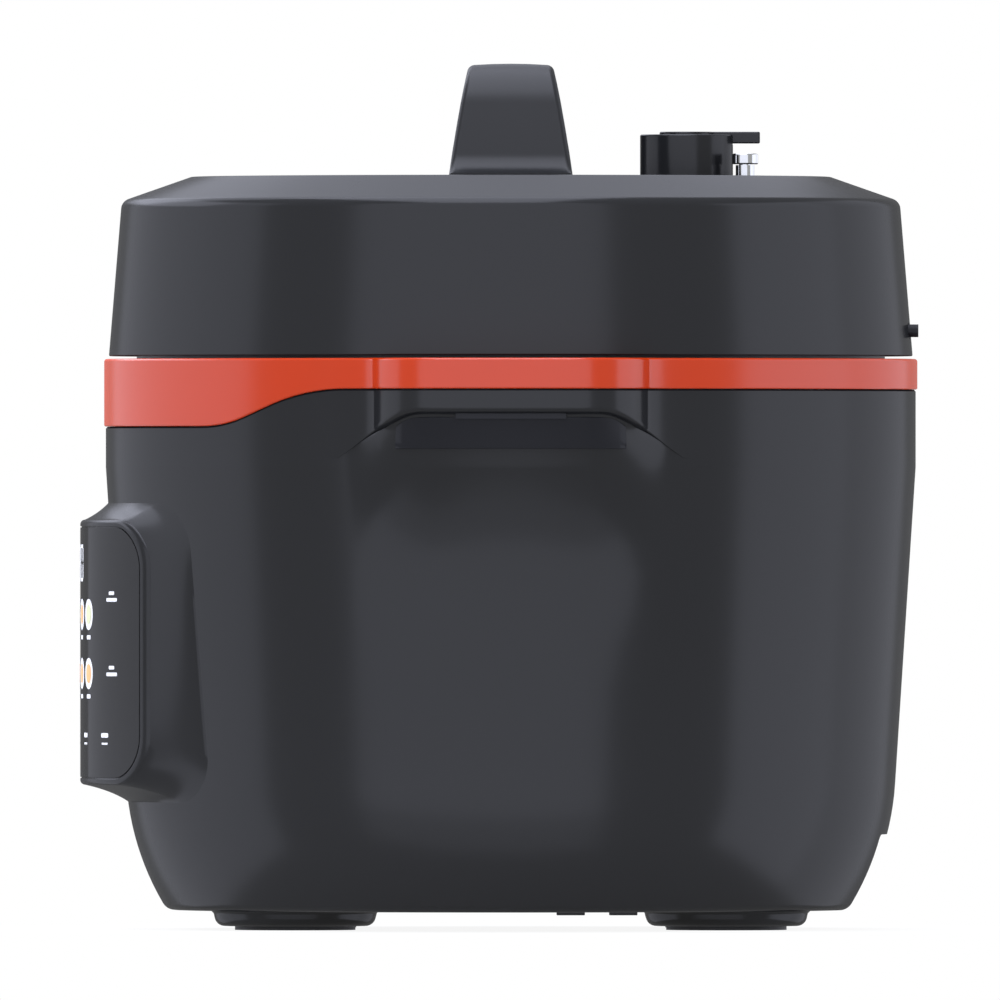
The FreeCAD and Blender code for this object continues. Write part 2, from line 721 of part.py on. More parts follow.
def display_module():
    """Numeric display on the upper part of the board, close behind the panel."""
    top_z = POD_MIDDLE_Z + DISPLAY_BOARD_HEIGHT / 2
    glass_back = math.sqrt((PANEL_RADIUS - GLASS_THICKNESS) ** 2 - DISPLAY_HALF ** 2)
    face_y = PANEL_AXIS_Y - glass_back + SEAT
    return block(-DISPLAY_HALF, DISPLAY_HALF, face_y, BOARD_FACE_Y - PCB, top_z - DISPLAY_HEIGHT, top_z)


# Base plate, feet and power inlet

def base_plate():
    """Bottom cover with feet, board posts, long screw posts and air slots."""
    edge = heel_end_radius(0) - EASE
    upstand = heel_end_radius(WALL) - EASE
    plate = lathe([
        (0, BASE_Z),
        (edge, BASE_Z, BASE_EDGE - FIT),
        (edge, HOUSING_Z),
        (upstand, HOUSING_Z),
        (upstand, HOUSING_Z + UPSTAND),
        (upstand - WALL, HOUSING_Z + UPSTAND),
        (upstand - WALL, HOUSING_Z),
        (0, HOUSING_Z),
    ])
    foot = lathe([
        (0, FOOT_Z),
        (FOOT_RADIUS - FOOT_DRAFT, FOOT_Z, FOOT_ROUND),
        (FOOT_RADIUS, BASE_Z + FIT),
        (0, BASE_Z + FIT),
    ])
    feet = [moved(foot, x, y) for x, y in corners_of(FOOT_X, FOOT_Y)]
    posts = [disc(POST_RADIUS, BASE_Z + FIT, WELL_Z, x, y) for x, y in post_places()]
    stands = [disc(POST_RADIUS, BASE_Z + FIT, BOARD_Z, x, y) for x, y in board_screw_places()]
    catches = []
    for place in (CATCH_Y - CATCH_PITCH / 2, CATCH_Y + CATCH_PITCH / 2):
        catches.append(block(-CATCH_WIDTH / 2, CATCH_WIDTH / 2, place - CATCH_LENGTH / 2,
                             place + CATCH_LENGTH / 2, BASE_Z - CATCH_DROP, BASE_Z + FIT))
    plate = plate.fuse(feet + posts + stands + catches)
    cuts = [disc(PAD_RADIUS + FIT, 0, FOOT_Z + PAD_SEAT, x, y) for x, y in corners_of(FOOT_X, FOOT_Y)]
    for x, y in post_places():
        cuts.append(disc(SCREW_RADIUS + FIT, 0, FAR, x, y))
        cuts.append(disc(SCREW_HEAD + FIT, 0, HOUSING_Z + FIT, x, y))
    for x, y in board_screw_places():
        cuts.append(disc(SCREW_RADIUS + FIT, HOUSING_Z + FIT, FAR, x, y))
    for slot in range(VENT_SLOTS):
        x = (slot - (VENT_SLOTS - 1) / 2) * VENT_PITCH
        cuts.append(block(x - VENT_WIDTH / 2, x + VENT_WIDTH / 2, -VENT_LENGTH, 0, 0, HOUSING_Z + FIT))
    reach = RECESS_HALF + WALL + EASE
    cuts.append(block(-reach, reach, recess_floor_y() - WALL - EASE, FAR, HOUSING_Z, FAR))
    return plate.cut(cuts).removeSplitter()


def post_places():
    """Where the four long screws stand."""
    side = POST_CIRCLE * math.sqrt(0.5)
    return corners_of(side, side)


def board_screw_places():
    """Where the power board is screwed down."""
    x = BOARD_HALF - POST_RADIUS
    y = BOARD_DEPTH / 2 - POST_RADIUS
    return [(place_x, BOARD_Y + place_y) for place_x, place_y in corners_of(x, y)]


def foot_pads():
    """Four rubber discs let into the feet."""
    top_z = FOOT_Z + PAD_SEAT - FIT
    return group([disc(PAD_RADIUS, 0, top_z, x, y) for x, y in corners_of(FOOT_X, FOOT_Y)])


def base_screws():
    """Four long screws that clamp the base plate, housing and well together."""
    head_z = HOUSING_Z + FIT - SCREW_HEAD_HEIGHT
    return group([screw(head_z, WELL_FLOOR_Z + SCREW_RADIUS, x, y) for x, y in post_places()])


def inlet_box(grow, start_y, end_y):
    """Bar with the inlet's rectangular section."""
    return block(-INLET_HALF - grow, INLET_HALF + grow, start_y, end_y,
                 INLET_Z - INLET_HEIGHT / 2 - grow, INLET_Z + INLET_HEIGHT / 2 + grow)


def power_inlet():
    """Socket for a detachable mains lead, seated against the recess's back wall."""
    face_y = recess_floor_y()
    body = inlet_box(0, face_y + INLET_FLANGE - INLET_LENGTH, face_y + INLET_FLANGE)
    flange = inlet_box(INLET_FLANGE, face_y, face_y + INLET_FLANGE)
    cavity = inlet_box(-INLET_WALL, face_y + INLET_FLANGE - INLET_PIN_DEPTH, FAR)
    pin_holes = [inlet_pin(shift, FIT) for shift in inlet_pin_shifts()]
    return body.fuse(flange).cut([cavity] + pin_holes)


def inlet_pin_shifts():
    """Sideways place and rise of the three contact blades."""
    rise = INLET_PIN_WIDTH / 2
    return [(-INLET_PIN_PITCH, -rise), (0, rise), (INLET_PIN_PITCH, -rise)]


def inlet_pin(shift, grow):
    """One flat contact blade through the socket's floor."""
    start_y = recess_floor_y() + INLET_FLANGE - INLET_LENGTH - INLET_PIN_WIDTH
    end_y = recess_floor_y() - INLET_PIN_THICKNESS
    x, rise = shift
    half_width = INLET_PIN_THICKNESS / 2 + grow
    half_height = INLET_PIN_WIDTH / 2 + grow
    z = INLET_Z + rise
    return block(x - half_width, x + half_width, start_y, end_y, z - half_height, z + half_height)


def inlet_pins():
    """Three contact blades."""
    return group([inlet_pin(shift, 0) for shift in inlet_pin_shifts()])


# Well, heater, sensor and electrics

def outer_pot():
    """Steel well that the cooking pot stands in, hung from the neck by its flange."""
    floor_corner = POT_ROUND + POT_PLAY
    well = lathe([
        (HOLDER_BARREL + EASE, WELL_Z),
        (WELL_OUTER, WELL_Z, floor_corner + WELL_WALL),
        (WELL_OUTER, NECK_Z),
        (FLANGE_RADIUS, NECK_Z),
        (FLANGE_RADIUS, FLANGE_Z),
        (WELL_RADIUS, FLANGE_Z),
        (WELL_RADIUS, WELL_FLOOR_Z, floor_corner),
        (HOLDER_BARREL + EASE, WELL_FLOOR_Z),
    ])
    holes = [disc(SCREW_RADIUS + FIT, 0, PLATE_Z, x, y) for x, y in post_places()]
    holes += [disc(TERMINAL_RADIUS + 2 * EASE, 0, PLATE_Z, x, y) for x, y in terminal_places()]
    return well.cut(holes)


def terminal_places():
    """Where the element's two ends turn down, at the rear."""
    places = []
    for side in (-1, 1):
        angle = math.radians(90 + side * ELEMENT_GAP / 2)
        places.append((ELEMENT_CIRCLE * math.cos(angle), ELEMENT_CIRCLE * math.sin(angle)))
    return places


def element_ring(radius):
    """The element's tube, bent round with a gap at the rear."""
    height = PLATE_Z + ELEMENT_SINK
    tube = Part.makeTorus(ELEMENT_CIRCLE, radius, Vector(0, 0, height), Vector(0, 0, 1),
                          -180, 180, 360 - ELEMENT_GAP)
    return turned(tube, 90 + ELEMENT_GAP / 2)


def heating_plate():
    """Thick aluminium disc on three legs, grooved below for the element."""
    plate = lathe([
        (PLATE_BORE, PLATE_Z),
        (PLATE_RADIUS, PLATE_Z),
        (PLATE_RADIUS, PLATE_TOP_Z, WALL),
        (PLATE_BORE, PLATE_TOP_Z, SENSOR_WALL),
    ])
    leg = disc(LEG_RADIUS, WELL_FLOOR_Z, PLATE_Z + FIT, 0, -LEG_CIRCLE)
    plate = plate.fuse([turned(leg, LEG_TURN * index) for index in range(3)])
    level = PLATE_Z + ELEMENT_SINK
    height = level - WELL_Z
    cuts = [element_ring(ELEMENT_RADIUS + FIT)]
    for x, y in terminal_places():
        cuts.append(disc(ELEMENT_RADIUS + EASE, level - height, level + ELEMENT_RADIUS + EASE, x, y))
    return plate.cut(cuts)


def heating_element():
    """Tubular heater with two ends turned down through the well's floor."""
    level = PLATE_Z + ELEMENT_SINK
    ends = [disc(TERMINAL_RADIUS, WELL_Z - TERMINAL_DROP, level, x, y) for x, y in terminal_places()]
    return element_ring(ELEMENT_RADIUS).fuse(ends)


def sensor_holder():
    """Bushed carrier in the middle of the well's floor."""
    bore = SENSOR_STEM + FIT
    return lathe([
        (bore, WELL_Z - HOLDER_DROP),
        (HOLDER_BARREL, WELL_Z - HOLDER_DROP),
        (HOLDER_BARREL, WELL_FLOOR_Z),
        (PLATE_BORE - EASE, WELL_FLOOR_Z),
        (PLATE_BORE - EASE, WELL_FLOOR_Z + HOLDER_FLANGE),
        (bore, WELL_FLOOR_Z + HOLDER_FLANGE),
    ])


def temperature_sensor():
    """Sprung cap that presses on the pot, on a stem with a clip below its bush."""
    top_z = POT_Z - EASE
    low_z = top_z - SENSOR_SKIRT
    inner_z = top_z - SENSOR_WALL
    clip_top_z = WELL_Z - HOLDER_DROP - EASE
    clip_z = clip_top_z - CLIP_THICKNESS
    return lathe([
        (0, clip_z),
        (SENSOR_STEM + CLIP_THICKNESS, clip_z),
        (SENSOR_STEM + CLIP_THICKNESS, clip_top_z),
        (SENSOR_STEM, clip_top_z),
        (SENSOR_STEM, inner_z),
        (SENSOR_RADIUS - SENSOR_WALL, inner_z),
        (SENSOR_RADIUS - SENSOR_WALL, low_z),
        (SENSOR_RADIUS, low_z),
        (SENSOR_RADIUS, top_z, SENSOR_WALL),
        (0, top_z),
    ])


def sensor_spring():
    """Coil that holds the sensor up against the pot."""
    seat_z = WELL_FLOOR_Z + HOLDER_FLANGE + EASE
    length = POT_Z - EASE - SENSOR_WALL - EASE - seat_z
    radius = (SENSOR_STEM + SENSOR_RADIUS - SENSOR_WALL) / 2
    return moved(coil(radius, length), z=seat_z)


def power_board():
    """Mains board on four short posts."""
    board = block(-BOARD_HALF, BOARD_HALF, BOARD_Y - BOARD_DEPTH / 2, BOARD_Y + BOARD_DEPTH / 2,
                  BOARD_Z, BOARD_Z + PCB)
    return board.cut([disc(SCREW_RADIUS + FIT, 0, FAR, x, y) for x, y in board_screw_places()])


def board_screws():
    """Four screws that hold the mains board."""
    head_z = BOARD_Z + PCB + SCREW_HEAD_HEIGHT
    return group([screw(head_z, HOUSING_Z + EASE, x, y) for x, y in board_screw_places()])


def board_components():
    """Relay, transformer and two capacitors on the mains board."""
    low_z = BOARD_Z + PCB
    back_y = BOARD_Y + COMPONENT_GAP
    relay = block(-COMPONENT_GAP - RELAY_LENGTH, -COMPONENT_GAP, back_y - RELAY_DEPTH, back_y,
                  low_z, low_z + RELAY_HEIGHT)
    transformer = block(COMPONENT_GAP, COMPONENT_GAP + TRANSFORMER_LENGTH, back_y - TRANSFORMER_DEPTH, back_y,
                        low_z, low_z + TRANSFORMER_HEIGHT)
    row_y = back_y + COMPONENT_GAP + CAPACITOR_RADIUS
    capacitors = []
    for side in (-1, 1):
        x = side * (COMPONENT_GAP + CAPACITOR_RADIUS)
        capacitors.append(disc(CAPACITOR_RADIUS, low_z, low_z + CAPACITOR_HEIGHT, x, row_y))
    return group([relay, transformer] + capacitors)


def pressure_switch():
    """Bellows switch fixed under the well's floor."""
    body = disc(SWITCH_RADIUS, WELL_Z - SWITCH_HEIGHT, WELL_Z, -PLATE_RADIUS / 2, PLATE_RADIUS / 3)
    tab = disc(SENSOR_STEM, WELL_Z - SWITCH_HEIGHT - WALL, WELL_Z - SWITCH_HEIGHT + FIT,
               -PLATE_RADIUS / 2, PLATE_RADIUS / 3)
    return body.fuse(tab)


def thermal_fuse():
    """Cut-out fuse in its clip under the well's floor."""
    x = PLATE_RADIUS / 2
    y = PLATE_RADIUS / 3
    clip = block(x - FUSE_RADIUS, x + FUSE_RADIUS, y - FUSE_RADIUS, y + FUSE_RADIUS,
                 WELL_Z - 2 * FUSE_RADIUS, WELL_Z)
    tube = rod(FUSE_RADIUS, y - FUSE_LENGTH / 2, y + FUSE_LENGTH / 2, x, WELL_Z - 2 * FUSE_RADIUS)
    return clip.fuse(tube)


# Bayonet, pot and lid

def locking_ring():
    """Steel ring on the well's flange, with inward teeth that hold the lid's lugs."""
    wall = ring(RING_RADIUS, RING_OUTER, FLANGE_Z, RING_TOP_Z)
    tooth = lathe([
        (TOOTH_RADIUS, TOOTH_Z),
        (RING_RADIUS + FIT, TOOTH_Z),
        (RING_RADIUS + FIT, RING_TOP_Z),
        (TOOTH_RADIUS, RING_TOP_Z),
    ], LOBE_SWEEP)
    teeth = [turned(tooth, LOBE_TURN * index - LOBE_SWEEP / 2) for index in range(LOBES)]
    return wall.fuse(teeth).removeSplitter()


def inner_pot():
    """Removable cooking pot with an outward rim."""
    outer_round = POT_ROUND + POT_WALL
    return lathe([
        (0, POT_Z),
        (POT_OUTER, POT_Z, outer_round),
        (POT_OUTER, POT_TOP_Z - POT_WALL, POT_WALL),
        (POT_LIP_RADIUS, POT_TOP_Z - POT_WALL),
        (POT_LIP_RADIUS, POT_TOP_Z),
        (POT_RADIUS, POT_TOP_Z, 2 * POT_WALL),
        (POT_RADIUS, POT_Z + POT_WALL, POT_ROUND),
        (0, POT_Z + POT_WALL),
    ])


def sealing_ring():
    """Silicone ring with an inward groove, between the pot's rim and the lid plate."""
    outer = SKIRT_RADIUS - EASE
    inner = outer - SEAL_WIDTH
    low_z = POT_TOP_Z + EASE
    top_z = LID_PLATE_Z - EASE
    middle_z = (low_z + top_z) / 2
    return lathe([
        (inner, low_z),
        (outer, low_z, SEAL_ROUND),
        (outer, top_z, SEAL_ROUND),
        (inner, top_z),
        (inner + SEAL_GROOVE, middle_z),
    ])


def seal_rack():
    """Steel hoop that keeps the sealing ring in the lid."""
    outer = SKIRT_RADIUS - EASE - SEAL_WIDTH - EASE
    return ring(outer - RACK_WIDTH, outer, LID_PLATE_Z - RACK_HEIGHT, LID_PLATE_Z)


def lid_plate():
    """Steel inner lid with a skirt whose lugs pass between the ring's teeth, then turn under them."""
    brim = LID_RADIUS - WALL - 2 * EASE
    plate = lathe([
        (0, LID_PLATE_Z),
        (SKIRT_RADIUS, LID_PLATE_Z),
        (SKIRT_RADIUS, LUG_Z),
        (SKIRT_OUTER, LUG_Z),
        (SKIRT_OUTER, LID_PLATE_Z),
        (brim, LID_PLATE_Z),
        (brim, LID_PLATE_TOP_Z),
        (0, LID_PLATE_TOP_Z),
    ])
    lug = lathe([
        (SKIRT_OUTER - FIT, LUG_Z),
        (LUG_RADIUS, LUG_Z),
        (LUG_RADIUS, LUG_TOP_Z),
        (SKIRT_OUTER - FIT, LUG_TOP_Z),
    ], LOBE_SWEEP)
    lugs = [turned(lug, LOBE_TURN * (index + 0.5) - LOBE_SWEEP / 2) for index in range(LOBES)]
    holes = [
        disc(PIPE_RADIUS + FIT, 0, FAR, 0, STEAM_Y),
        disc(FLOAT_STEM + EASE, 0, FAR, FLOAT_X, FLOAT_Y),
    ]
    return plate.fuse(lugs).cut(holes)


def lid_outline(inset):
    """Half section of the lid cover's outside, drawn in by inset, from the middle to the edge."""
    return [
        (0, LID_TOP_Z - inset),
        (CROWN_RADIUS, LID_TOP_Z - inset, LID_SHOULDER_ROUND),
        (SHOULDER_RADIUS - inset, SHOULDER_Z - inset + inset * LID_CROWN / LID_CROWN_WIDTH,
         LID_SHOULDER_ROUND - inset),
        (LID_RADIUS - inset, LID_Z),
    ]


def lid_cover():
    """Plastic lid shell with four bosses for the inner lid's studs."""
    shell = lathe(lid_outline(0) + lid_outline(WALL)[::-1])
    bosses = [disc(BOSS_RADIUS, LID_PLATE_TOP_Z, LID_INNER_Z + FIT, x, y) for x, y in stud_places()]
    cuts = [disc(STUD_RADIUS + FIT, 0, LID_PLATE_TOP_Z + STUD_LENGTH + FIT, x, y) for x, y in stud_places()]
    cuts += [disc(SCREW_RADIUS + FIT, 0, FAR, x, y) for x, y in corners_of(HANDLE_SCREW_X, HANDLE_SCREW_Y)]
    cuts.append(disc(SPIGOT_RADIUS + SEAT, 0, FAR, 0, STEAM_Y))
    cuts.append(disc(SLEEVE_RADIUS + FIT, 0, FAR, FLOAT_X, FLOAT_Y))
    cuts.append(rod(LOCK_RADIUS + EASE, 0, FAR, FLOAT_X, LOCK_Z))
    return shell.fuse(bosses).cut(cuts)


def stud_places():
    """Where the inner lid's studs stand."""
    side = STUD_CIRCLE * math.sqrt(0.5)
    return corners_of(side, side)


def lid_studs():
    """Four welded studs that hold the cover on the inner lid."""
    top_z = LID_PLATE_TOP_Z + STUD_LENGTH
    return group([disc(STUD_RADIUS, LID_PLATE_TOP_Z, top_z, x, y) for x, y in stud_places()])


def handle_gap(inset):
    """Outline of the finger opening under the handle, drawn in by inset."""
    half = GRIP_GAP_HALF - inset
    top_z = LID_TOP_Z + GRIP_GAP_HEIGHT - inset
    lean = GRIP_GAP_LEAN
    corner = GRIP_GAP_ROUND - inset
    return [
        (-half, LID_TOP_Z),
        (-half + lean, top_z, corner),
        (half - lean, top_z, corner),
        (half, LID_TOP_Z),
    ]


def handle_bar(inset):
    """The handle's tapering width as a bar along X, drawn in by inset."""
    base = HANDLE_BASE_WIDTH / 2 - inset
    top = HANDLE_TOP_WIDTH / 2 - inset
    corner = HANDLE_EDGE_ROUND
    outline = [
        (-base, LID_TOP_Z),
        (base, LID_TOP_Z),
        (top, HANDLE_TOP_Z, corner),
        (-top, HANDLE_TOP_Z, corner),
    ]
    return prism_x(outline, -FAR, FAR)


def lid_handle():
    """Arched grip across the lid with flared feet."""
    leg = HANDLE_HALF - HANDLE_FLARE
    flare_z = LID_TOP_Z + HANDLE_FOOT
    outline = [
        (-HANDLE_HALF, LID_TOP_Z),
        (HANDLE_HALF, LID_TOP_Z),
        (HANDLE_HALF, flare_z),
        (leg, flare_z, HANDLE_FLARE_ROUND),
        (leg - HANDLE_LEAN, HANDLE_TOP_Z, HANDLE_TOP_ROUND),
        (-leg + HANDLE_LEAN, HANDLE_TOP_Z, HANDLE_TOP_ROUND),
        (-leg, flare_z, HANDLE_FLARE_ROUND),
        (-HANDLE_HALF, flare_z),
    ]
    arch = prism_y(outline, -HANDLE_BASE_WIDTH, HANDLE_BASE_WIDTH)
    arch = arch.cut(prism_y(handle_gap(0), -HANDLE_BASE_WIDTH, HANDLE_BASE_WIDTH))
    arch = arch.common(handle_bar(0))
    holes = []
    for x, y in corners_of(HANDLE_SCREW_X, HANDLE_SCREW_Y):
        holes.append(disc(SCREW_RADIUS + FIT, 0, LID_TOP_Z + SCREW_BITE + FIT, x, y))
    return arch.cut(holes)


def handle_liner():
    """Thin cover that closes the handle's underside round the finger opening."""
    liner = prism_y(handle_gap(FIT), -HANDLE_BASE_WIDTH, HANDLE_BASE_WIDTH)
    liner = liner.cut(prism_y(handle_gap(FIT + LINER), -HANDLE_BASE_WIDTH, HANDLE_BASE_WIDTH))
    return liner.common(handle_bar(LINER_INSET))


def handle_screws():
    """Four screws from inside the cover into the handle's feet."""
    head_z = LID_INNER_Z - SCREW_HEAD_HEIGHT
    tip_z = LID_TOP_Z + SCREW_BITE
    return group([screw(head_z, tip_z, x, y) for x, y in corners_of(HANDLE_SCREW_X, HANDLE_SCREW_Y)])


# Steam valve, float and lid lock

def steam_collar():
    """Round wall about the steam valve, with a notch that the lever swings in."""
    top_z = LID_TOP_Z + COLLAR_HEIGHT
    floor_z = LID_TOP_Z + COLLAR_FLOOR
    bore = PIPE_RADIUS + EASE
    collar = lathe([
        (bore, LID_INNER_Z),
        (SPIGOT_RADIUS, LID_INNER_Z),
        (SPIGOT_RADIUS, LID_TOP_Z),
        (COLLAR_RADIUS, LID_TOP_Z),
        (COLLAR_RADIUS, top_z, COLLAR_WALL / 3),
        (COLLAR_RADIUS - COLLAR_WALL, top_z, COLLAR_WALL / 3),
        (COLLAR_RADIUS - COLLAR_WALL, floor_z),
        (bore, floor_z),
    ])
    inside = COLLAR_RADIUS - COLLAR_WALL
    half_lever = math.degrees(math.asin((LEVER_WIDTH / 2 + 2 * EASE) / inside))
    notch = lathe([
        (inside - COLLAR_WALL, LEVER_Z - 2 * EASE),
        (COLLAR_RADIUS + COLLAR_WALL, LEVER_Z - 2 * EASE),
        (COLLAR_RADIUS + COLLAR_WALL, top_z + COLLAR_WALL),
        (inside - COLLAR_WALL, top_z + COLLAR_WALL),
    ], LEVER_SWING + 2 * half_lever)
    return moved(collar.cut(turned(notch, 90 - half_lever)), y=STEAM_Y)


def vent_pipe():
    """Steam pipe from the inner lid up to the weight."""
    top_z = LEVER_Z - WEIGHT_CAP - WEIGHT_LIFT
    flange_z = LID_PLATE_Z - PIPE_FLANGE_THICKNESS
    pipe = lathe([
        (PIPE_BORE, flange_z),
        (PIPE_FLANGE, flange_z),
        (PIPE_FLANGE, LID_PLATE_Z),
        (PIPE_RADIUS, LID_PLATE_Z),
        (PIPE_RADIUS, top_z, WEIGHT_LIFT),
        (PIPE_BORE, top_z),
    ])
    return moved(pipe, y=STEAM_Y)


def vent_nut():
    """Hexagon nut that holds the pipe on the inner lid."""
    corners = []
    for index in range(6):
        angle = math.radians(60 * index)
        corners.append(Vector(NUT_RADIUS * math.cos(angle), NUT_RADIUS * math.sin(angle), LID_PLATE_TOP_Z))
    nut = Part.Face(Part.makePolygon(corners + corners[:1])).extrude(Vector(0, 0, NUT_HEIGHT))
    nut = nut.cut(disc(PIPE_RADIUS + FIT, 0, FAR))
    return moved(nut, y=STEAM_Y)


def anti_block_cap():
    """Slotted cup that keeps food out of the steam pipe."""
    flange_z = LID_PLATE_Z - PIPE_FLANGE_THICKNESS
    low_z = flange_z - CAP_DEPTH
    inner = PIPE_FLANGE + FIT
    cup = lathe([
        (0, low_z),
        (inner + CAP_WALL, low_z, CAP_WALL),
        (inner + CAP_WALL, LID_PLATE_Z - EASE),
        (inner, LID_PLATE_Z - EASE),
        (inner, low_z + CAP_WALL),
        (0, low_z + CAP_WALL),
    ])
    slot = block(inner - CAP_WALL, inner + 2 * CAP_WALL, -CAP_SLOT_WIDTH / 2, CAP_SLOT_WIDTH / 2,
                 low_z + 2 * CAP_WALL, flange_z - CAP_WALL)
    slots = [turned(slot, 360 / CAP_SLOTS * index) for index in range(CAP_SLOTS)]
    return moved(cup.cut(slots), y=STEAM_Y)


def steam_weight():
    """Weight that sits on the steam pipe under the lever."""
    low_z = LID_TOP_Z + COLLAR_FLOOR + WEIGHT_LIFT
    bore = PIPE_RADIUS + FIT
    weight = lathe([
        (bore, low_z),
        (WEIGHT_RADIUS, low_z, WEIGHT_LIFT),
        (WEIGHT_RADIUS, LEVER_Z),
        (0, LEVER_Z),
        (0, LEVER_Z - WEIGHT_CAP),
        (bore, LEVER_Z - WEIGHT_CAP),
    ])
    return moved(weight, y=STEAM_Y)


def steam_lever():
    """Flat release lever whose tab reaches out through the collar's notch."""
    top_z = LEVER_Z + LEVER_THICKNESS
    hub = disc(LEVER_HUB, LEVER_Z, top_z)
    tab = block(-LEVER_WIDTH / 2, LEVER_WIDTH / 2, 0, LEVER_REACH, LEVER_Z, top_z)
    end_edges = [edge for edge in tab.Edges if tab_corner(edge)]
    tab = tab.makeFillet(LEVER_WIDTH / 4, end_edges)
    return moved(hub.fuse(tab), y=STEAM_Y)


def tab_corner(edge):
    """Whether an edge is one of the tab's two upright outer corners."""
    box = edge.BoundBox
    return box.ZLength > LEVER_THICKNESS / 2 and box.YMin > LEVER_REACH / 2


def float_sleeve():
    """Steel bush in the cover that the float's stem runs in."""
    bore = FLOAT_STEM + FIT
    sleeve = lathe([
        (bore, LID_INNER_Z - FLOAT_SEAL_HEIGHT),
        (SLEEVE_RADIUS, LID_INNER_Z - FLOAT_SEAL_HEIGHT),
        (SLEEVE_RADIUS, LID_TOP_Z + SLEEVE_RISE),
        (bore, LID_TOP_Z + SLEEVE_RISE),
    ])
    return moved(sleeve, FLOAT_X, FLOAT_Y)


def float_foot_z():
    """Lower end of the float's stem."""
    return LID_PLATE_Z - EASE - FLOAT_TRAVEL - FLOAT_SEAL_HEIGHT


def float_pin():
    """Float valve pin, resting with its head on the sleeve."""
    head_z = LID_TOP_Z + SLEEVE_RISE + EASE
    pin = lathe([
        (0, float_foot_z()),
        (FLOAT_STEM, float_foot_z()),
        (FLOAT_STEM, head_z),
        (FLOAT_HEAD, head_z, SENSOR_WALL / 3),
        (FLOAT_HEAD, head_z + FLOAT_HEAD_HEIGHT, SENSOR_WALL / 2),
        (0, head_z + FLOAT_HEAD_HEIGHT),
    ])
    return moved(pin, FLOAT_X, FLOAT_Y)


def float_seal():
    """Silicone cap on the float's foot that closes the inner lid when pressure lifts it."""
    low_z = float_foot_z()
    cap = lathe([
        (FLOAT_STEM + FIT, low_z),
        (FLOAT_SEAL_RADIUS, low_z, SEAL_ROUND),
        (FLOAT_SEAL_RADIUS, low_z + FLOAT_SEAL_HEIGHT, SEAL_ROUND),
        (FLOAT_STEM + FIT, low_z + FLOAT_SEAL_HEIGHT),
    ])
    return moved(cap, FLOAT_X, FLOAT_Y)


def lock_pin():
    """Sprung pin through the lid's rear wall, with a collar for its spring."""
    pin = rod(LOCK_RADIUS, LOCK_START_Y, LOCK_END_Y, FLOAT_X, LOCK_Z)
    collar = rod(LOCK_COLLAR, LOCK_COLLAR_Y, LOCK_COLLAR_Y + CLIP_THICKNESS, FLOAT_X, LOCK_Z)
    return pin.fuse(collar)


def lock_guide():
    """Bored block on the inner lid that the lock pin slides in."""
    guide = block(FLOAT_X - GUIDE_HALF, FLOAT_X + GUIDE_HALF, GUIDE_Y - GUIDE_LENGTH, GUIDE_Y,
                  LID_PLATE_TOP_Z, LOCK_Z + GUIDE_HALF)
    return guide.cut(rod(LOCK_RADIUS + FIT, 0, FAR, FLOAT_X, LOCK_Z))


def lock_spring():
    """Coil that pushes the lock pin outwards."""
    length = LOCK_COLLAR_Y - GUIDE_Y - 2 * EASE
    spring = coil(LOCK_RADIUS + 2 * EASE + SPRING_WIRE, length)
    spring.rotate(Vector(0, 0, 0), Vector(1, 0, 0), -90)
    return moved(spring, FLOAT_X, GUIDE_Y + EASE, LOCK_Z)


PIECES = {
    "outer_housing": outer_housing(),
    "power_recess": power_recess(),
    "grip_collar": grip_collar(),
    "trim_band": trim_band(),
    "handle_insert_right": handle_insert(),
    "handle_insert_left": mirrored(handle_insert()),
    "control_pod": control_pod(),
    "control_glass": control_glass(),
    "display_board": display_board(),
    "display_module": display_module(),
    "base_plate": base_plate(),
    "foot_pads": foot_pads(),
    "base_screws": base_screws(),
    "power_inlet": power_inlet(),
    "inlet_pins": inlet_pins(),
    "outer_pot": outer_pot(),
    "heating_plate": heating_plate(),
    "heating_element": heating_element(),
    "sensor_holder": sensor_holder(),
    "sensor_spring": sensor_spring(),
    "temperature_sensor": temperature_sensor(),
    "power_board": power_board(),
    "board_screws": board_screws(),
    "board_components": board_components(),
    "pressure_switch": pressure_switch(),
    "thermal_fuse": thermal_fuse(),
    "locking_ring": locking_ring(),
    "inner_pot": inner_pot(),
    "sealing_ring": sealing_ring(),
    "seal_rack": seal_rack(),
    "lid_plate": lid_plate(),
    "lid_cover": lid_cover(),
    "lid_studs": lid_studs(),
    "lid_handle": lid_handle(),
    "handle_liner": handle_liner(),
    "handle_screws": handle_screws(),
    "steam_collar": steam_collar(),
    "vent_pipe": vent_pipe(),
    "vent_nut": vent_nut(),
    "anti_block_cap": anti_block_cap(),
    "steam_weight": steam_weight(),
    "steam_lever": steam_lever(),
    "float_sleeve": float_sleeve(),
    "float_pin": float_pin(),
    "float_seal": float_seal(),
    "lock_pin": lock_pin(),
    "lock_guide": lock_guide(),
    "lock_spring": lock_spring(),
}

os.makedirs("parts", exist_ok=True)
for name, shape in PIECES.items():
    placed = moved(shape, y=FOOTPRINT_SHIFT)
    placed.exportStep("parts/" + name + ".step")
    print(name, placed.isValid(), len(placed.Solids), round(placed.Volume))
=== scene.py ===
import bpy
import bmesh
import math
from mathutils import Matrix, Vector


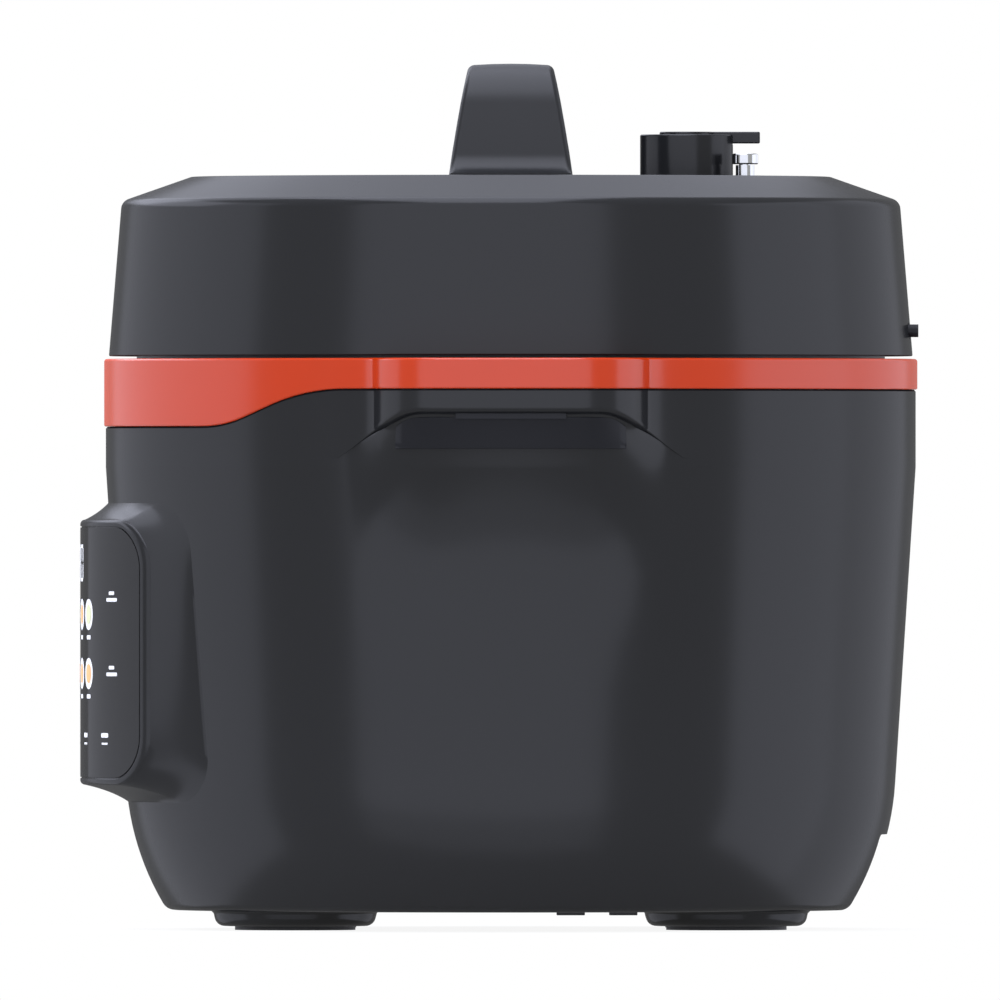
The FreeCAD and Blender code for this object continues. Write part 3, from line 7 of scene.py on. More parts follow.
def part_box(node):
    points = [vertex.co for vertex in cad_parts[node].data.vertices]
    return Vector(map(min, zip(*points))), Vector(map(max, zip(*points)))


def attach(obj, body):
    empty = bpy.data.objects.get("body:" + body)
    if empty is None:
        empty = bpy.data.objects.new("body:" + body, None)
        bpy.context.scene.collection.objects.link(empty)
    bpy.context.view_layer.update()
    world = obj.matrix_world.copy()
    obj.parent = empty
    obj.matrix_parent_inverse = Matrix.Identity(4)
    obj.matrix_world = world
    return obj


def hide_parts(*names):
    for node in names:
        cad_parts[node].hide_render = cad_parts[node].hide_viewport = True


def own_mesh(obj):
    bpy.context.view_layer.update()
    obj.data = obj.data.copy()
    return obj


# Electric pressure cooker with a turn-lock lid.
# Pieces are modelled in millimetres about the pot's upright axis, with the control panel facing -Y,
# and are then settled into the frame, which is in metres.

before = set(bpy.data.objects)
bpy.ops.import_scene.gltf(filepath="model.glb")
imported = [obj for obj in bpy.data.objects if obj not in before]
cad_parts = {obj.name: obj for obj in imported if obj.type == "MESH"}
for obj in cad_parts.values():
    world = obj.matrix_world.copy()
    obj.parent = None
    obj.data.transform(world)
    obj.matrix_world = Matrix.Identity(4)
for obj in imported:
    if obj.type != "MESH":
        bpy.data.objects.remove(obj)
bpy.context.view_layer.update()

MM = 0.001
FULL_TURN = 2 * math.pi
QUARTER_TURN = math.pi / 2
CORNER_STEPS = 8
LATHE_STEPS = 144
FOOT_STEPS = 72
POST_STEPS = 32
ROUND_STEPS = 40
NOTCH_STEPS = 16
BEVEL_STEPS = 3
BEVEL_ANGLE = math.radians(40)
SMOOTH_ANGLE = math.radians(32)
WELD = 0.002
GLOSS_IOR = 1.9

pot_low, pot_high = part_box("inner_pot")
AXIS = Vector((0, (pot_low.y + pot_high.y) / 2, 0))


def span(node):
    """Lowest and highest corner of a CAD node, in millimetres about the pot's axis."""
    low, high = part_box(node)
    return (low - AXIS) / MM, (high - AXIS) / MM


# Housing, trim band and side grips
band_high = span("trim_band")[1]
RIM_Z = band_high.z
BAND_TOP_Z = RIM_Z - 0.4
GRIP_REACH = band_high.x
BAND_RADIUS = band_high.y
BAND_PROUD = 0.6
BODY_RADIUS = BAND_RADIUS - BAND_PROUD
BAND_GAP = 0.1
SEAM_Z = RIM_Z - 11.5
FRONT_SEAM_Z = RIM_Z - 24.8
SEAM_LOW_Y = -102.7
SEAM_HIGH_Y = -73.7
SEAM_LOW_ROUND = 35.0
SEAM_HIGH_ROUND = 65.0
BAND_TOP_ROUND = 1.0
BAND_LOW_ROUND = 0.6
BAND_WALL = 3.3
DECK = 2.5
DECK_HOLE = 135.2
GRIP_FLAT = 21.4
GRIP_ROUND = 28.5
GRIP_LEAN = math.radians(76)
GRIP_END = 66.0
LIP_Z = SEAM_Z - 8.6
LIP_ROUND = 2.4
LIP_FULL_DEPTH = 9.0
LIP_RUN_START = 33.0
LIP_RUN_END = 75.0
LIP_RUN_DROP = 21.0
ROOF_RUN = 2.0
ROOF_FILLET = 8.0
SWEEP_DROP = 56.0
SWEEP_POWER = 1.5
SWEEP_FLAT = 24.0
SWEEP_END = 58.0
SCOOP_DEPTH = 2.5
SCOOP_RUN = 40.0
INSERT_HALF = 42.2
INSERT_FLAT = 34.0
INSERT_TOP_Z = LIP_Z - 1.6
INSERT_LOW_Z = LIP_Z - 12.8
INSERT_CORNER = 4.4
INSERT_PROUD = 0.9
INSERT_END = 1.6
INSERT_END_DEPTH = 2.4
INSERT_WALL = 4.0
INSERT_SOFTEN = 0.3
RAIL_HALF = 19.8
RAIL_DROP = 2.2
RAIL_HEIGHT = 3.4
RAIL_SET_IN = 3.6
RAIL_SOFTEN = 0.25
HOUSING_Z = span("outer_housing")[0].z
UPRIGHT_Z = RIM_Z - 39.2
WAIST_Z = HOUSING_Z + 42.8
WAIST_RADIUS = BODY_RADIUS - 7.4
HEEL_RADIUS = 97.0
TAPER = math.atan2(BODY_RADIUS - WAIST_RADIUS, UPRIGHT_Z - WAIST_Z)
HEEL_CENTRE_R = WAIST_RADIUS - HEEL_RADIUS * math.cos(TAPER)
HEEL_CENTRE_Z = WAIST_Z + HEEL_RADIUS * math.sin(TAPER)
WALL = 3.0
NECK_RADIUS = BODY_RADIUS - 2 * WALL
GRIP_CENTRE = Vector((GRIP_REACH - GRIP_ROUND, GRIP_FLAT))
RECESS_HALF = 26.0
RECESS_TOP_Z = HOUSING_Z + 24.8
RECESS_FLOOR_Y = span("power_inlet")[1].y - 2.0
RECESS_ROUND = 2.0

# Base plate and feet
FOOT_Z = span("base_plate")[0].z
BASE_Z = FOOT_Z + 5.4
BASE_SEAM = 0.1
BASE_ROUND = 0.3
FOOT_X = 48.5
FOOT_Y = 77.3
FOOT_RADIUS = 29.2
FOOT_DRAFT = 1.0
FOOT_ROUND = 3.6
FOOT_FLARE = 0.9
PAD_RADIUS = 21.7
PAD_SEAT = 1.6
UPSTAND = 6.0
POST_RADIUS = 5.0
POST_CIRCLE = 88.0
POST_SIDE = POST_CIRCLE * math.sqrt(0.5)
POST_HEIGHT = 25.8
SCREW_RADIUS = 1.9
SCREW_HEAD = 3.7
CATCH_HALF = 5.1
CATCH_DROP = 2.0
CATCH_SOFTEN = 0.3
CATCH_YS = (21.55, 40.45)
VENT_SLOTS = 9
VENT_WIDTH = 3.0
VENT_LENGTH = 34.0
VENT_PITCH = 7.5

# Control pod
glass_low, glass_high = span("control_glass")
PANEL_RADIUS = 122.0
POD_FRONT_Y = glass_low.y + 0.2
PANEL_AXIS_Y = POD_FRONT_Y + PANEL_RADIUS
POD_HALF = 86.7
POD_LOW_Z = HOUSING_Z + 36.5
POD_TOP_Z = POD_LOW_Z + 107.3
POD_CORNER = 17.0
GLASS_HALF = glass_high.x - 4.1
GLASS_Z = glass_low.z + 0.4
GLASS_TOP_Z = glass_high.z - 0.3
GLASS_CORNER = 15.0
GLASS_THICKNESS = 2.0
GLASS_SOFTEN = 0.35
PANEL_RIM = 2.8
RIM_ROUND = 1.7
RIM_GROOVE = 0.35
RIM_TUCK = 1.0
GROOVE_DEPTH = 0.5
GROOVE_EDGE = 0.15
GROOVE_EASE = 0.2
FLARE_SIDE = -0.13
FLARE_TOP = 0.33
FLARE_FOOT = 0.4
FLARE_POWER = 4
FLARE_TURN = 0.7
FLARE_TURN_END = 0.2

# Lid
lid_low, lid_high = span("lid_cover")
LID_Z = lid_low.z - 1.2
LID_TOP_Z = lid_high.z
LID_RADIUS = lid_high.y
SHOULDER_Z = lid_low.z + 54.5
SHOULDER_RADIUS = LID_RADIUS - 4.6
CROWN_RADIUS = SHOULDER_RADIUS - 25.1
LID_EDGE_ROUND = 0.5
SHOULDER_ROUND = 4.0
handle_high = span("lid_handle")[1]
HANDLE_HALF = handle_high.x
HANDLE_TOP_Z = handle_high.z
HANDLE_BASE_HALF = handle_high.y
HANDLE_TOP_HALF = 15.1
HANDLE_BULGE = 0.42
HANDLE_CROWN = 0.6
HANDLE_CROWN_POWER = 6
HANDLE_ROUND = 2.0
HANDLE_FLARE = 12.0
HANDLE_FLARE_ROUND = 9.0
HANDLE_LEAN = 8.0
HANDLE_TOP_ROUND = 18.0
HANDLE_TOE = 1.0
HANDLE_TOE_SHARE = 0.3
GAP_HALF = 34.0
GAP_HEIGHT = 26.0
GAP_LEAN = 3.0
GAP_ROUND = 12.0

# Steam valve, float and lock
lever_low, lever_high = span("steam_lever")
STEAM_Y = sum(corner.y for corner in span("steam_weight")) / 2
LEVER_Z = lever_low.z - 0.3
LEVER_TOP_Z = lever_high.z - 0.1
LEVER_REACH = lever_high.y - STEAM_Y
LEVER_HUB = STEAM_Y - lever_low.y
LEVER_NEAR = 1.2
LEVER_FAR = 5.4
LEVER_SWING = math.radians(40)
LEVER_SOFTEN = 0.5
NOTCH_EASE = 0.6
COLLAR_RADIUS = STEAM_Y - span("steam_collar")[0].y + 0.3
COLLAR_WALL = 2.0
COLLAR_ROUND = COLLAR_WALL / 3
COLLAR_HEIGHT = 15.2
SPIGOT_RADIUS = 9.5
VALVE_BORE = 4.3
FLOAT_X = 14.0
FLOAT_Y = 84.2
SLEEVE_RADIUS = 3.4
LOCK_Z = sum(corner.z for corner in span("lock_pin")) / 2
LOCK_RADIUS = 2.3

# Springs
SPRING_WIRE = 0.5
SPRING_PITCH = 2.3
SPRING_STEPS = 24
SPRING_SIDES = 10

# Panel print
PRINT_PROUD = 0.08
DIGIT_Z = 131.5
DIGIT_WIDTH = 6.0
DIGIT_STROKE = 1.3
DIGIT_PITCH = 9.3
KEY_ROWS = (113.0, 91.8)
KEY_PITCH = 14.1
KEY_RADIUS = 5.6
KEY_DISH = 0.62 * KEY_RADIUS
KEY_COLUMNS = range(-2, 3)
KEY_LABEL = (5.5, 1.5)
KEY_LABEL_DROP = 8.2
MARK_X = 52.1
MARK_ROWS = (119.5, 92.8)
MARK_SHORT = (4, 1.3)
MARK_LONG = (8, 1.3)
MARK_RISE = 1.2
MENU_PITCH = 23.2
MENU_Z = 69.7
MENU_BAR = (6, 1.6)
MENU_LINE = (5, 0.7)
MENU_LINE_DROP = 3.0
BAR_CORNER_SHARE = 0.35

# Studio
FLOOR_RADIUS = 0.22
FLOOR_GAP = 0.0002
FLOOR_STEPS = 96
FLOOR_TONES = ((0.80, 0.80, 0.80), (0.84, 0.84, 0.84))
FLOOR_FADE_START = 0.5
FLOOR_GLOW = 0.9
SURROUND_LIGHT = 0.35
WHITE = (1.0, 1.0, 1.0, 1.0)
COOL_WHITE = (0.91, 0.945, 1.12)
# Name, place, aim, width, height and brightness of each lamp
SOFTBOXES = (
    ("front_softbox", (1.2, -0.3, 0.46), (0.1, -0.3, 0.46), 1.84, 1.68, 0.87),
    ("front_fill_softbox", (1.25, -0.3, 0.25), (0.1, -0.3, 0.25), 1.92, 2.1, 0.88),
    ("right_softbox", (0.16, 1.405, 0.22), (0.54, 0.165, 0.22), 1.12, 1.95, 2.2),
    ("right_rear_softbox", (-0.92, 1.075, 0.22), (-0.54, -0.165, 0.22), 1.12, 1.95, 1.5),
    ("left_softbox", (-0.5, -1.2, 0.22), (0, 0, 0.22), 1.95, 1.95, 1.65),
    ("upper_left_softbox", (-0.95, -1.1, 0.88), (0.05, -0.13, 0.15), 1.9, 0.7, 3.2),
    ("rear_softbox", (-1.15, -0.37, 1.15), (0, -0.05, 0.25), 1.5, 1.2, 3.2),
    ("top_softbox", (0.25, -0.15, 1.36), (0.25, -0.15, 0.2), 1.9, 0.8, 6.5),
)
CAMERA_DISTANCE = 16.8
CAMERA_AIM = AXIS + Vector((0, -3.87, 154.1)) * MM
CAMERA_LENS = 1682
SENSOR_WIDTH = 36


# Outlines

def heading(angle):
    """Unit step along an angle in an outline's own plane."""
    return Vector((math.cos(angle), math.sin(angle)))


def arc(centre, radius, start, end, steps):
    """Spots along an arc, without its last one."""
    return [centre + radius * heading(start + (end - start) * step / steps) for step in range(steps)]


def sector(radius, start, end, steps):
    """Spots along an arc about the origin, with both its ends."""
    angles = [start + (end - start) * step / steps for step in range(steps + 1)]
    return [(radius * math.cos(angle), radius * math.sin(angle)) for angle in angles]


def quarter_round(radius, steps):
    """Pairs of distances along a rounded edge: one runs from the radius to 0, the other from 0 to it."""
    angles = [QUARTER_TURN * step / steps for step in range(steps + 1)]
    return [(radius * (1 - math.sin(angle)), radius * (1 - math.cos(angle))) for angle in angles]


def smooth_step(value, start, end):
    """Runs from 0 to 1 in a soft curve as the value goes from start to end."""
    share = min(1, max(0, (value - start) / (end - start)))
    return share ** 2 * (3 - 2 * share)


def lifted(spot, z):
    """Plan spot at a height."""
    return Vector((spot.x, spot.y, z))


def rounded(points):
    """Closed outline of (u, v) or (u, v, corner radius) points, with its corners drawn as arcs."""
    outline = []
    for index, point in enumerate(points):
        corner = Vector(point[:2])
        radius = point[2] if len(point) > 2 else 0
        if radius == 0:
            outline.append(corner)
            continue
        back = (Vector(points[index - 1][:2]) - corner).normalized()
        ahead = (Vector(points[(index + 1) % len(points)][:2]) - corner).normalized()
        half = back.angle(ahead) / 2
        centre = corner + (back + ahead).normalized() * radius / math.sin(half)
        start = corner + back * radius / math.tan(half) - centre
        turn = -math.copysign(math.pi - 2 * half, back.cross(ahead))
        for step in range(CORNER_STEPS + 1):
            outline.append(centre + Matrix.Rotation(turn * step / CORNER_STEPS, 2) @ start)
    return outline


def box_outline(low_u, high_u, low_v, high_v, corner=0):
    """Rectangle of (u, v, corner radius) points."""
    places = ((low_u, low_v), (high_u, low_v), (high_u, high_v), (low_u, high_v))
    return [(*place, corner) for place in places]


def upright(y):
    """Placer for outlines of (x, z) points at one Y."""
    return lambda x, z: Vector((x, y, z))


def level(z):
    """Placer for outlines of (x, y) points at one Z."""
    return lambda x, y: Vector((x, y, z))


# Modelling helpers

def take(piece):
    """Makes one piece the only selected and active one."""
    bpy.ops.object.select_all(action="DESELECT")
    piece.select_set(True)
    bpy.context.view_layer.objects.active = piece


def trace(name, spots):
    """Closed line drawn from spot to spot, left in edit mode."""
    bpy.ops.object.select_all(action="DESELECT")
    bpy.ops.mesh.primitive_plane_add(size=1, location=spots[0])
    piece = bpy.context.object
    piece.name = name
    bpy.ops.object.mode_set(mode="EDIT")
    bpy.ops.mesh.merge(type="CENTER")
    for start, end in zip(spots, spots[1:] + spots[:1]):
        bpy.ops.mesh.extrude_vertices_move(TRANSFORM_OT_translate={"value": end - start})
    bpy.ops.mesh.select_all(action="SELECT")
    bpy.ops.mesh.remove_doubles(threshold=WELD)
    return piece


def close(piece):
    """Welds a mesh that is in edit mode and turns its faces outwards."""
    bpy.ops.mesh.select_all(action="SELECT")
    bpy.ops.mesh.remove_doubles(threshold=WELD)
    bpy.ops.mesh.normals_make_consistent(inside=False)
    bpy.ops.object.mode_set(mode="OBJECT")
    bpy.ops.object.transform_apply(location=True, rotation=True, scale=True)
    return piece


def lathe(name, points, x=0, y=0, steps=LATHE_STEPS):
    """Piece turned about an upright line from an outline of (radius, height) points."""
    piece = trace(name, [Vector((x + spot.x, y, spot.y)) for spot in rounded(points)])
    bpy.ops.mesh.spin(steps=steps, angle=FULL_TURN, center=(x, y, 0), axis=(0, 0, 1))
    return close(piece)


def slab(name, points, place, depth):
    """Outline of (u, v) points, put in space by place, filled and extruded."""
    piece = trace(name, [place(spot.x, spot.y) for spot in rounded(points)])
    bpy.ops.mesh.edge_face_add()
    bpy.ops.mesh.extrude_region_move(TRANSFORM_OT_translate={"value": depth})
    return close(piece)


def following(vertex):
    """The vertex that was extruded from this one."""
    return next(edge.other_vert(vertex) for edge in vertex.link_edges if edge.other_vert(vertex).select)


def rows_piece(name, rows, closed=True, capped=False):
    """Surface through rows of spots, extruded row by row from a circle or an open line."""
    bpy.ops.object.select_all(action="DESELECT")
    bpy.ops.mesh.primitive_circle_add(vertices=len(rows[0]), radius=1)
    piece = bpy.context.object
    piece.name = name
    bpy.ops.object.mode_set(mode="EDIT")
    mesh = bmesh.from_edit_mesh(piece.data)
    mesh.verts.ensure_lookup_table()
    ring = list(mesh.verts)
    if not closed:
        mesh.edges.remove(mesh.edges.get((ring[-1], ring[0])))
    for row in rows:
        if row is not rows[0]:
            bpy.ops.mesh.extrude_region_move()
            mesh = bmesh.from_edit_mesh(piece.data)
            mesh.verts.ensure_lookup_table()
            ring = [following(mesh.verts[place]) for place in places]
        for vertex, spot in zip(ring, row):
            vertex.co = spot
        mesh.verts.index_update()
        places = [vertex.index for vertex in ring]
        bmesh.update_edit_mesh(piece.data)
    if capped:
        bpy.ops.mesh.select_all(action="SELECT")
        bpy.ops.mesh.fill_holes(sides=0)
    return close(piece)


def modify(piece, kind, **settings):
    """Applies a modifier to a piece."""
    take(piece)
    change = piece.modifiers.new(kind, kind)
    for name, value in settings.items():
        setattr(change, name, value)
    bpy.ops.object.modifier_apply(modifier=change.name)


def bevel(piece, width):
    """Rounds every sharp edge."""
    modify(piece, "BEVEL", width=width, segments=BEVEL_STEPS, limit_method="ANGLE", angle_limit=BEVEL_ANGLE)


def face_outwards(piece, outwards):
    """Flips an open sheet whose faces point the wrong way."""
    total = Vector((0, 0, 0))
    for face in piece.data.polygons:
        total += face.normal * face.area
    if total.dot(outwards) < 0:
        take(piece)
        bpy.ops.object.mode_set(mode="EDIT")
        bpy.ops.mesh.select_all(action="SELECT")
        bpy.ops.mesh.flip_normals()
        bpy.ops.object.mode_set(mode="OBJECT")


def thicken(piece, depth):
    """Gives a sheet a wall behind its face."""
    modify(piece, "SOLIDIFY", thickness=depth, offset=-1)


def combine(piece, tool, operation):
    """Cuts a tool out of a piece, adds it to the piece or keeps what both share."""
    modify(piece, "BOOLEAN", operation=operation, solver="EXACT", object=tool)
    bpy.data.objects.remove(tool)


def join(pieces, name):
    """Several meshes as one piece."""
    take(pieces[0])
    for piece in pieces[1:]:
        piece.select_set(True)
    bpy.ops.object.join()
    pieces[0].name = name
    return pieces[0]


def settle(piece, body, slot, *nodes, finish=None):
    """Puts a finished piece in its place in the frame, on its body, with its slot's finish or another one."""
    take(piece)
    piece.scale = (MM, MM, MM)
    piece.location = AXIS
    bpy.ops.object.transform_apply(location=True, rotation=True, scale=True)
    bpy.ops.object.shade_smooth_by_angle(angle=SMOOTH_ANGLE)
    modify(piece, "WEIGHTED_NORMAL", keep_sharp=True)
    piece.data.materials.clear()
    piece.data.materials.append(FINISHES[finish or slot])
    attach(piece, body)
    if nodes:
        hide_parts(*nodes)
    return piece


# Materials

def feed(node, inputs):
    """Sets inputs of a shader node, each to a plain value or to another node's output."""
    for name, value in inputs.items():
        if isinstance(value, bpy.types.NodeSocket):
            node.id_data.links.new(value, node.inputs[name])
        else:
            node.inputs[name].default_value = value


def add_node(tree, kind, inputs):
    """New shader node with its inputs."""
    node = tree.nodes.new(kind)
    feed(node, inputs)
    return node


def new_material(name):
    """New material, with its node tree and its shader."""
    material = bpy.data.materials.new(name)
    material.use_nodes = True
    return material, material.node_tree, material.node_tree.nodes["Principled BSDF"]


def grain(tree, scale, detail, stretch=(1, 1, 1)):
    """Noise on the piece's own coordinates, in cells per metre."""
    place = tree.nodes.new("ShaderNodeTexCoord")
    mapping = add_node(tree, "ShaderNodeMapping", {"Vector": place.outputs["Object"], "Scale": stretch})
    noise = {"Vector": mapping.outputs["Vector"], "Scale": scale, "Detail": detail}
    return add_node(tree, "ShaderNodeTexNoise", noise).outputs["Fac"]


def turned_grain(tree, scale):
    """Noise that runs in rings about the pot's axis, as turning or spinning leaves it."""
    place = tree.nodes.new("ShaderNodeTexCoord")
    mapping = add_node(tree, "ShaderNodeMapping", {"Vector": place.outputs["Object"], "Location": -AXIS})
    parts = add_node(tree, "ShaderNodeSeparateXYZ", {"Vector": mapping.outputs["Vector"]})
    flat = add_node(tree, "ShaderNodeCombineXYZ", {"X": parts.outputs["X"], "Y": parts.outputs["Y"]})
    radius = add_node(tree, "ShaderNodeVectorMath", {0: flat.outputs["Vector"]})
    radius.operation = "LENGTH"
    rings = add_node(tree, "ShaderNodeCombineXYZ", {"X": radius.outputs["Value"], "Z": parts.outputs["Z"]})
    noise = {"Vector": rings.outputs["Vector"], "Scale": scale}
    return add_node(tree, "ShaderNodeTexNoise", noise).outputs["Fac"]


def tint(pattern, first, second):
    """Colour that follows a pattern between two colours."""
    mix = pattern.id_data.nodes.new("ShaderNodeMix")
    mix.data_type = "RGBA"
    feed(mix, {"Factor": pattern, "A": (*first, 1.0), "B": (*second, 1.0)})
    return mix.outputs["Result"]


def vary(pattern, low, high):
    """Number that follows a pattern between two values."""
    spread = {"Value": pattern, "To Min": low, "To Max": high}
    return add_node(pattern.id_data, "ShaderNodeMapRange", spread).outputs["Result"]


def relief(pattern, depth, strength):
    """Bump that follows a pattern, with its depth in millimetres."""
    bump = {"Height": pattern, "Strength": strength, "Distance": depth * MM}
    return add_node(pattern.id_data, "ShaderNodeBump", bump).outputs["Normal"]


def shade(colour, amount):
    """Colour made lighter or darker."""
    return tuple(part * amount for part in colour)


def thin_gloss(shader, gloss, roughness):
    """Share of gloss that lies over a surface which has none of its own."""
    feed(shader, {
        "Specular IOR Level": 0.0,
        "Coat Weight": gloss,
        "Coat Roughness": roughness,
        "Coat IOR": GLOSS_IOR,
    })


def moulded(name, colour, gloss, gloss_roughness, grain_depth):
    """Moulded plastic: cloudy colour, a thin even gloss and a fine spark-eroded grain."""
    material, tree, shader = new_material(name)
    feed(shader, {
        "Base Color": tint(grain(tree, scale=14, detail=4), shade(colour, 0.94), shade(colour, 1.06)),
        "Roughness": vary(grain(tree, scale=70, detail=3), 0.5, 0.65),
        "Normal": relief(grain(tree, scale=2600, detail=2), depth=grain_depth, strength=0.25),
    })
    thin_gloss(shader, gloss, gloss_roughness)
    return material


def metal(name, colour, roughness, ring_scale, anisotropy):
    """Turned or spun metal with fine rings and uneven gloss."""
    material, tree, shader = new_material(name)
    rings = turned_grain(tree, ring_scale)
    feed(shader, {
        "Base Color": tint(rings, shade(colour, 0.9), shade(colour, 1.05)),
        "Roughness": vary(rings, roughness * 0.75, roughness * 1.25),
        "Normal": relief(rings, depth=0.01, strength=0.15),
        "Metallic": 1.0,
        "Anisotropic": anisotropy,
    })
    return material


def dark_glass():
    """Smoked touch glass with a faint cloud of wiped marks under its gloss."""
    material, tree, shader = new_material("panel_glass")
    smears = grain(tree, scale=30, detail=5, stretch=(1, 1, 0.4))
    feed(shader, {
        "Base Color": tint(smears, (0.013, 0.013, 0.013), (0.017, 0.017, 0.017)),
        "Roughness": vary(smears, 0.3, 0.45),
        "Normal": relief(grain(tree, scale=120, detail=2), depth=0.01, strength=0.05),
    })
    thin_gloss(shader, gloss=0.105, roughness=0.1)
    return material


def soft_rubber(name, colour, roughness, light_through):
    """Rubber or silicone with a dusty bloom and a fine skin."""
    material, tree, shader = new_material(name)
    unevenness = 0.08
    bloom = grain(tree, scale=90, detail=5)
    feed(shader, {
        "Base Color": tint(bloom, shade(colour, 0.85), shade(colour, 1.15)),
        "Roughness": vary(bloom, roughness - unevenness, roughness + unevenness),
        "Normal": relief(grain(tree, scale=1800, detail=3), depth=0.03, strength=0.3),
        "Specular IOR Level": 0.3,
        "Subsurface Weight": light_through,
        "Subsurface Scale": 2 * MM,
    })
    return material


def board_green():
    """Circuit board with lighter copper tracks under its lacquer."""
    material, tree, shader = new_material("circuit_board")
    place = tree.nodes.new("ShaderNodeTexCoord")
    tracks = add_node(tree, "ShaderNodeTexBrick", {
        "Vector": place.outputs["Object"],
        "Scale": 160,
        "Mortar Size": 0.03,
        "Color1": (0.02, 0.13, 0.05, 1.0),
        "Color2": (0.025, 0.16, 0.06, 1.0),
        "Mortar": (0.06, 0.26, 0.11, 1.0),
    })
    feed(shader, {
        "Base Color": tracks.outputs["Color"],
        "Roughness": vary(grain(tree, scale=200, detail=3), 0.3, 0.45),
        "Normal": relief(tracks.outputs["Fac"], depth=0.04, strength=0.4),
    })
    return material


def panel_ink(name, colour):
    """Print on the glass, slightly uneven as screen printing is."""
    material, tree, shader = new_material(name)
    patches = grain(tree, scale=700, detail=3)
    feed(shader, {
        "Base Color": tint(patches, shade(colour, 0.88), shade(colour, 1.06)),
        "Roughness": vary(patches, 0.45, 0.6),
    })
    return material


def plain_name(material):
    """A material's name without the number that Blender gives to a second one of that name."""
    return material.name.split(".")[0]


CHARCOAL = (0.0118, 0.0122, 0.0130)
FINISHES = {plain_name(material): material for material in (
    moulded("charcoal_plastic", CHARCOAL, gloss=0.136, gloss_roughness=0.2, grain_depth=0.015),
    moulded("orange_plastic", (0.40, 0.026, 0.001), gloss=0.28, gloss_roughness=0.2, grain_depth=0.01),
    moulded("satin_charcoal", CHARCOAL, gloss=0.15, gloss_roughness=0.36, grain_depth=0.015),
    moulded("black_plastic", (0.0105, 0.0109, 0.0130), gloss=0.085, gloss_roughness=0.3, grain_depth=0.02),
    dark_glass(),
    panel_ink("white_ink", (0.70, 0.71, 0.72)),
    panel_ink("amber_ink", (0.72, 0.30, 0.06)),
    panel_ink("leaf_ink", (0.50, 0.52, 0.28)),
    metal("steel", (0.42, 0.425, 0.43), roughness=0.26, ring_scale=1400, anisotropy=0.4),
    # near-black steel: painted shade for the locking ring, seen only in the shadowed gap under the lid
    metal("painted_shade_steel", (0.05, 0.053, 0.056), roughness=0.4, ring_scale=1400, anisotropy=0.3),
    metal("chrome", (0.33, 0.335, 0.34), roughness=0.07, ring_scale=900, anisotropy=0.0),
    metal("aluminium", (0.38, 0.38, 0.375), roughness=0.36, ring_scale=700, anisotropy=0.3),
    metal("brass", (0.42, 0.30, 0.13), roughness=0.28, ring_scale=900, anisotropy=0.2),
    soft_rubber("silicone", (0.52, 0.53, 0.52), roughness=0.45, light_through=0.25),
    soft_rubber("rubber", (0.018, 0.018, 0.019), roughness=0.7, light_through=0.0),
    board_green(),
)}


def dress_frame():
    """Gives every CAD node the finish of its slot, and the locking ring a near-black steel that paints in the
    shade of the narrow gap between lid and band.
    """
    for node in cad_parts.values():
        for holder in node.material_slots:
            holder.material = FINISHES.get(plain_name(holder.material), holder.material)
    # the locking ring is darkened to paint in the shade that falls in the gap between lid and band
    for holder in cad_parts["locking_ring"].material_slots:
        holder.material = FINISHES["painted_shade_steel"]


# Housing and trim band

def rim_spots(inset):
    """Plan of the rim with its two side grips, drawn in by inset, the same columns for every inset."""
    flat_steps = 8
    nose_steps = 12
    blend_steps = 14
    body_steps = 36
    quarter = []
    for step in range(flat_steps):
        quarter.append(Vector((GRIP_REACH - inset, GRIP_FLAT * step / flat_steps)))
    quarter += arc(GRIP_CENTRE, GRIP_ROUND - inset, 0, GRIP_LEAN, nose_steps)
    leave = math.asin(GRIP_END / BAND_RADIUS)
    first = GRIP_CENTRE + GRIP_ROUND * heading(GRIP_LEAN)
    last = BAND_RADIUS * heading(leave)
    first_way = heading(GRIP_LEAN + QUARTER_TURN)
    last_way = heading(leave + QUARTER_TURN)
    corner = first + first_way * (last - first).cross(last_way) / first_way.cross(last_way)
    for step in range(blend_steps):
        share = step / blend_steps
        before = first.lerp(corner, share)
        after = corner.lerp(last, share)
        way = (after - before).normalized()
        quarter.append(before.lerp(after, share) - inset * Vector((way.y, -way.x)))
    quarter += arc(Vector((0, 0)), BAND_RADIUS - inset, leave, QUARTER_TURN, body_steps)
    side_end = Vector((0, BAND_RADIUS - inset))
    right = quarter + [side_end]
    left = [Vector((-spot.x, spot.y)) for spot in reversed(quarter)]
    rear = right + left
    front = [Vector((-spot.x, -spot.y)) for spot in rear[1:-1]]
    return rear + front


def on_circle(spot, radius):
    """The spot's column on the round body, straight in from the grip, at a radius."""
    x = math.copysign(math.sqrt(max(BODY_RADIUS ** 2 - spot.y ** 2, 0)), spot.x)
    return Vector((x, spot.y)).normalized() * radius


def bend_down(run, slope, radius, level_z):
    """Height along a level line that bends down at run = 0 through an arc."""
    reach = radius * math.tan(slope / 2)
    if run <= -reach:
        return level_z
    if run < reach * math.cos(slope):
        return level_z - radius + math.sqrt(radius ** 2 - (run + reach) ** 2)
    return level_z - run * math.tan(slope)


def seam(y):
    """Height of the line between the housing and the trim band, lower at the front."""
    slope = math.atan2(SEAM_Z - FRONT_SEAM_Z, SEAM_HIGH_Y - SEAM_LOW_Y)
    from_top = bend_down(SEAM_HIGH_Y - y, slope, SEAM_HIGH_ROUND, SEAM_Z)
    from_low = -bend_down(y - SEAM_LOW_Y, slope, SEAM_LOW_ROUND, -FRONT_SEAM_Z)
    return from_top if y > (SEAM_LOW_Y + SEAM_HIGH_Y) / 2 else from_low


def lip_z(y):
    """Height of a grip lip's lower edge, which runs out low on the body in a soft curve."""
    drop = LIP_RUN_DROP * smooth_step(abs(y), LIP_RUN_START, LIP_RUN_END)
    return max(LIP_Z - drop, UPRIGHT_Z + WALL)


def grip_depth(spot):
    """How far the grip stands out from the round body at a plan spot."""
    return (spot - on_circle(spot, BODY_RADIUS)).length


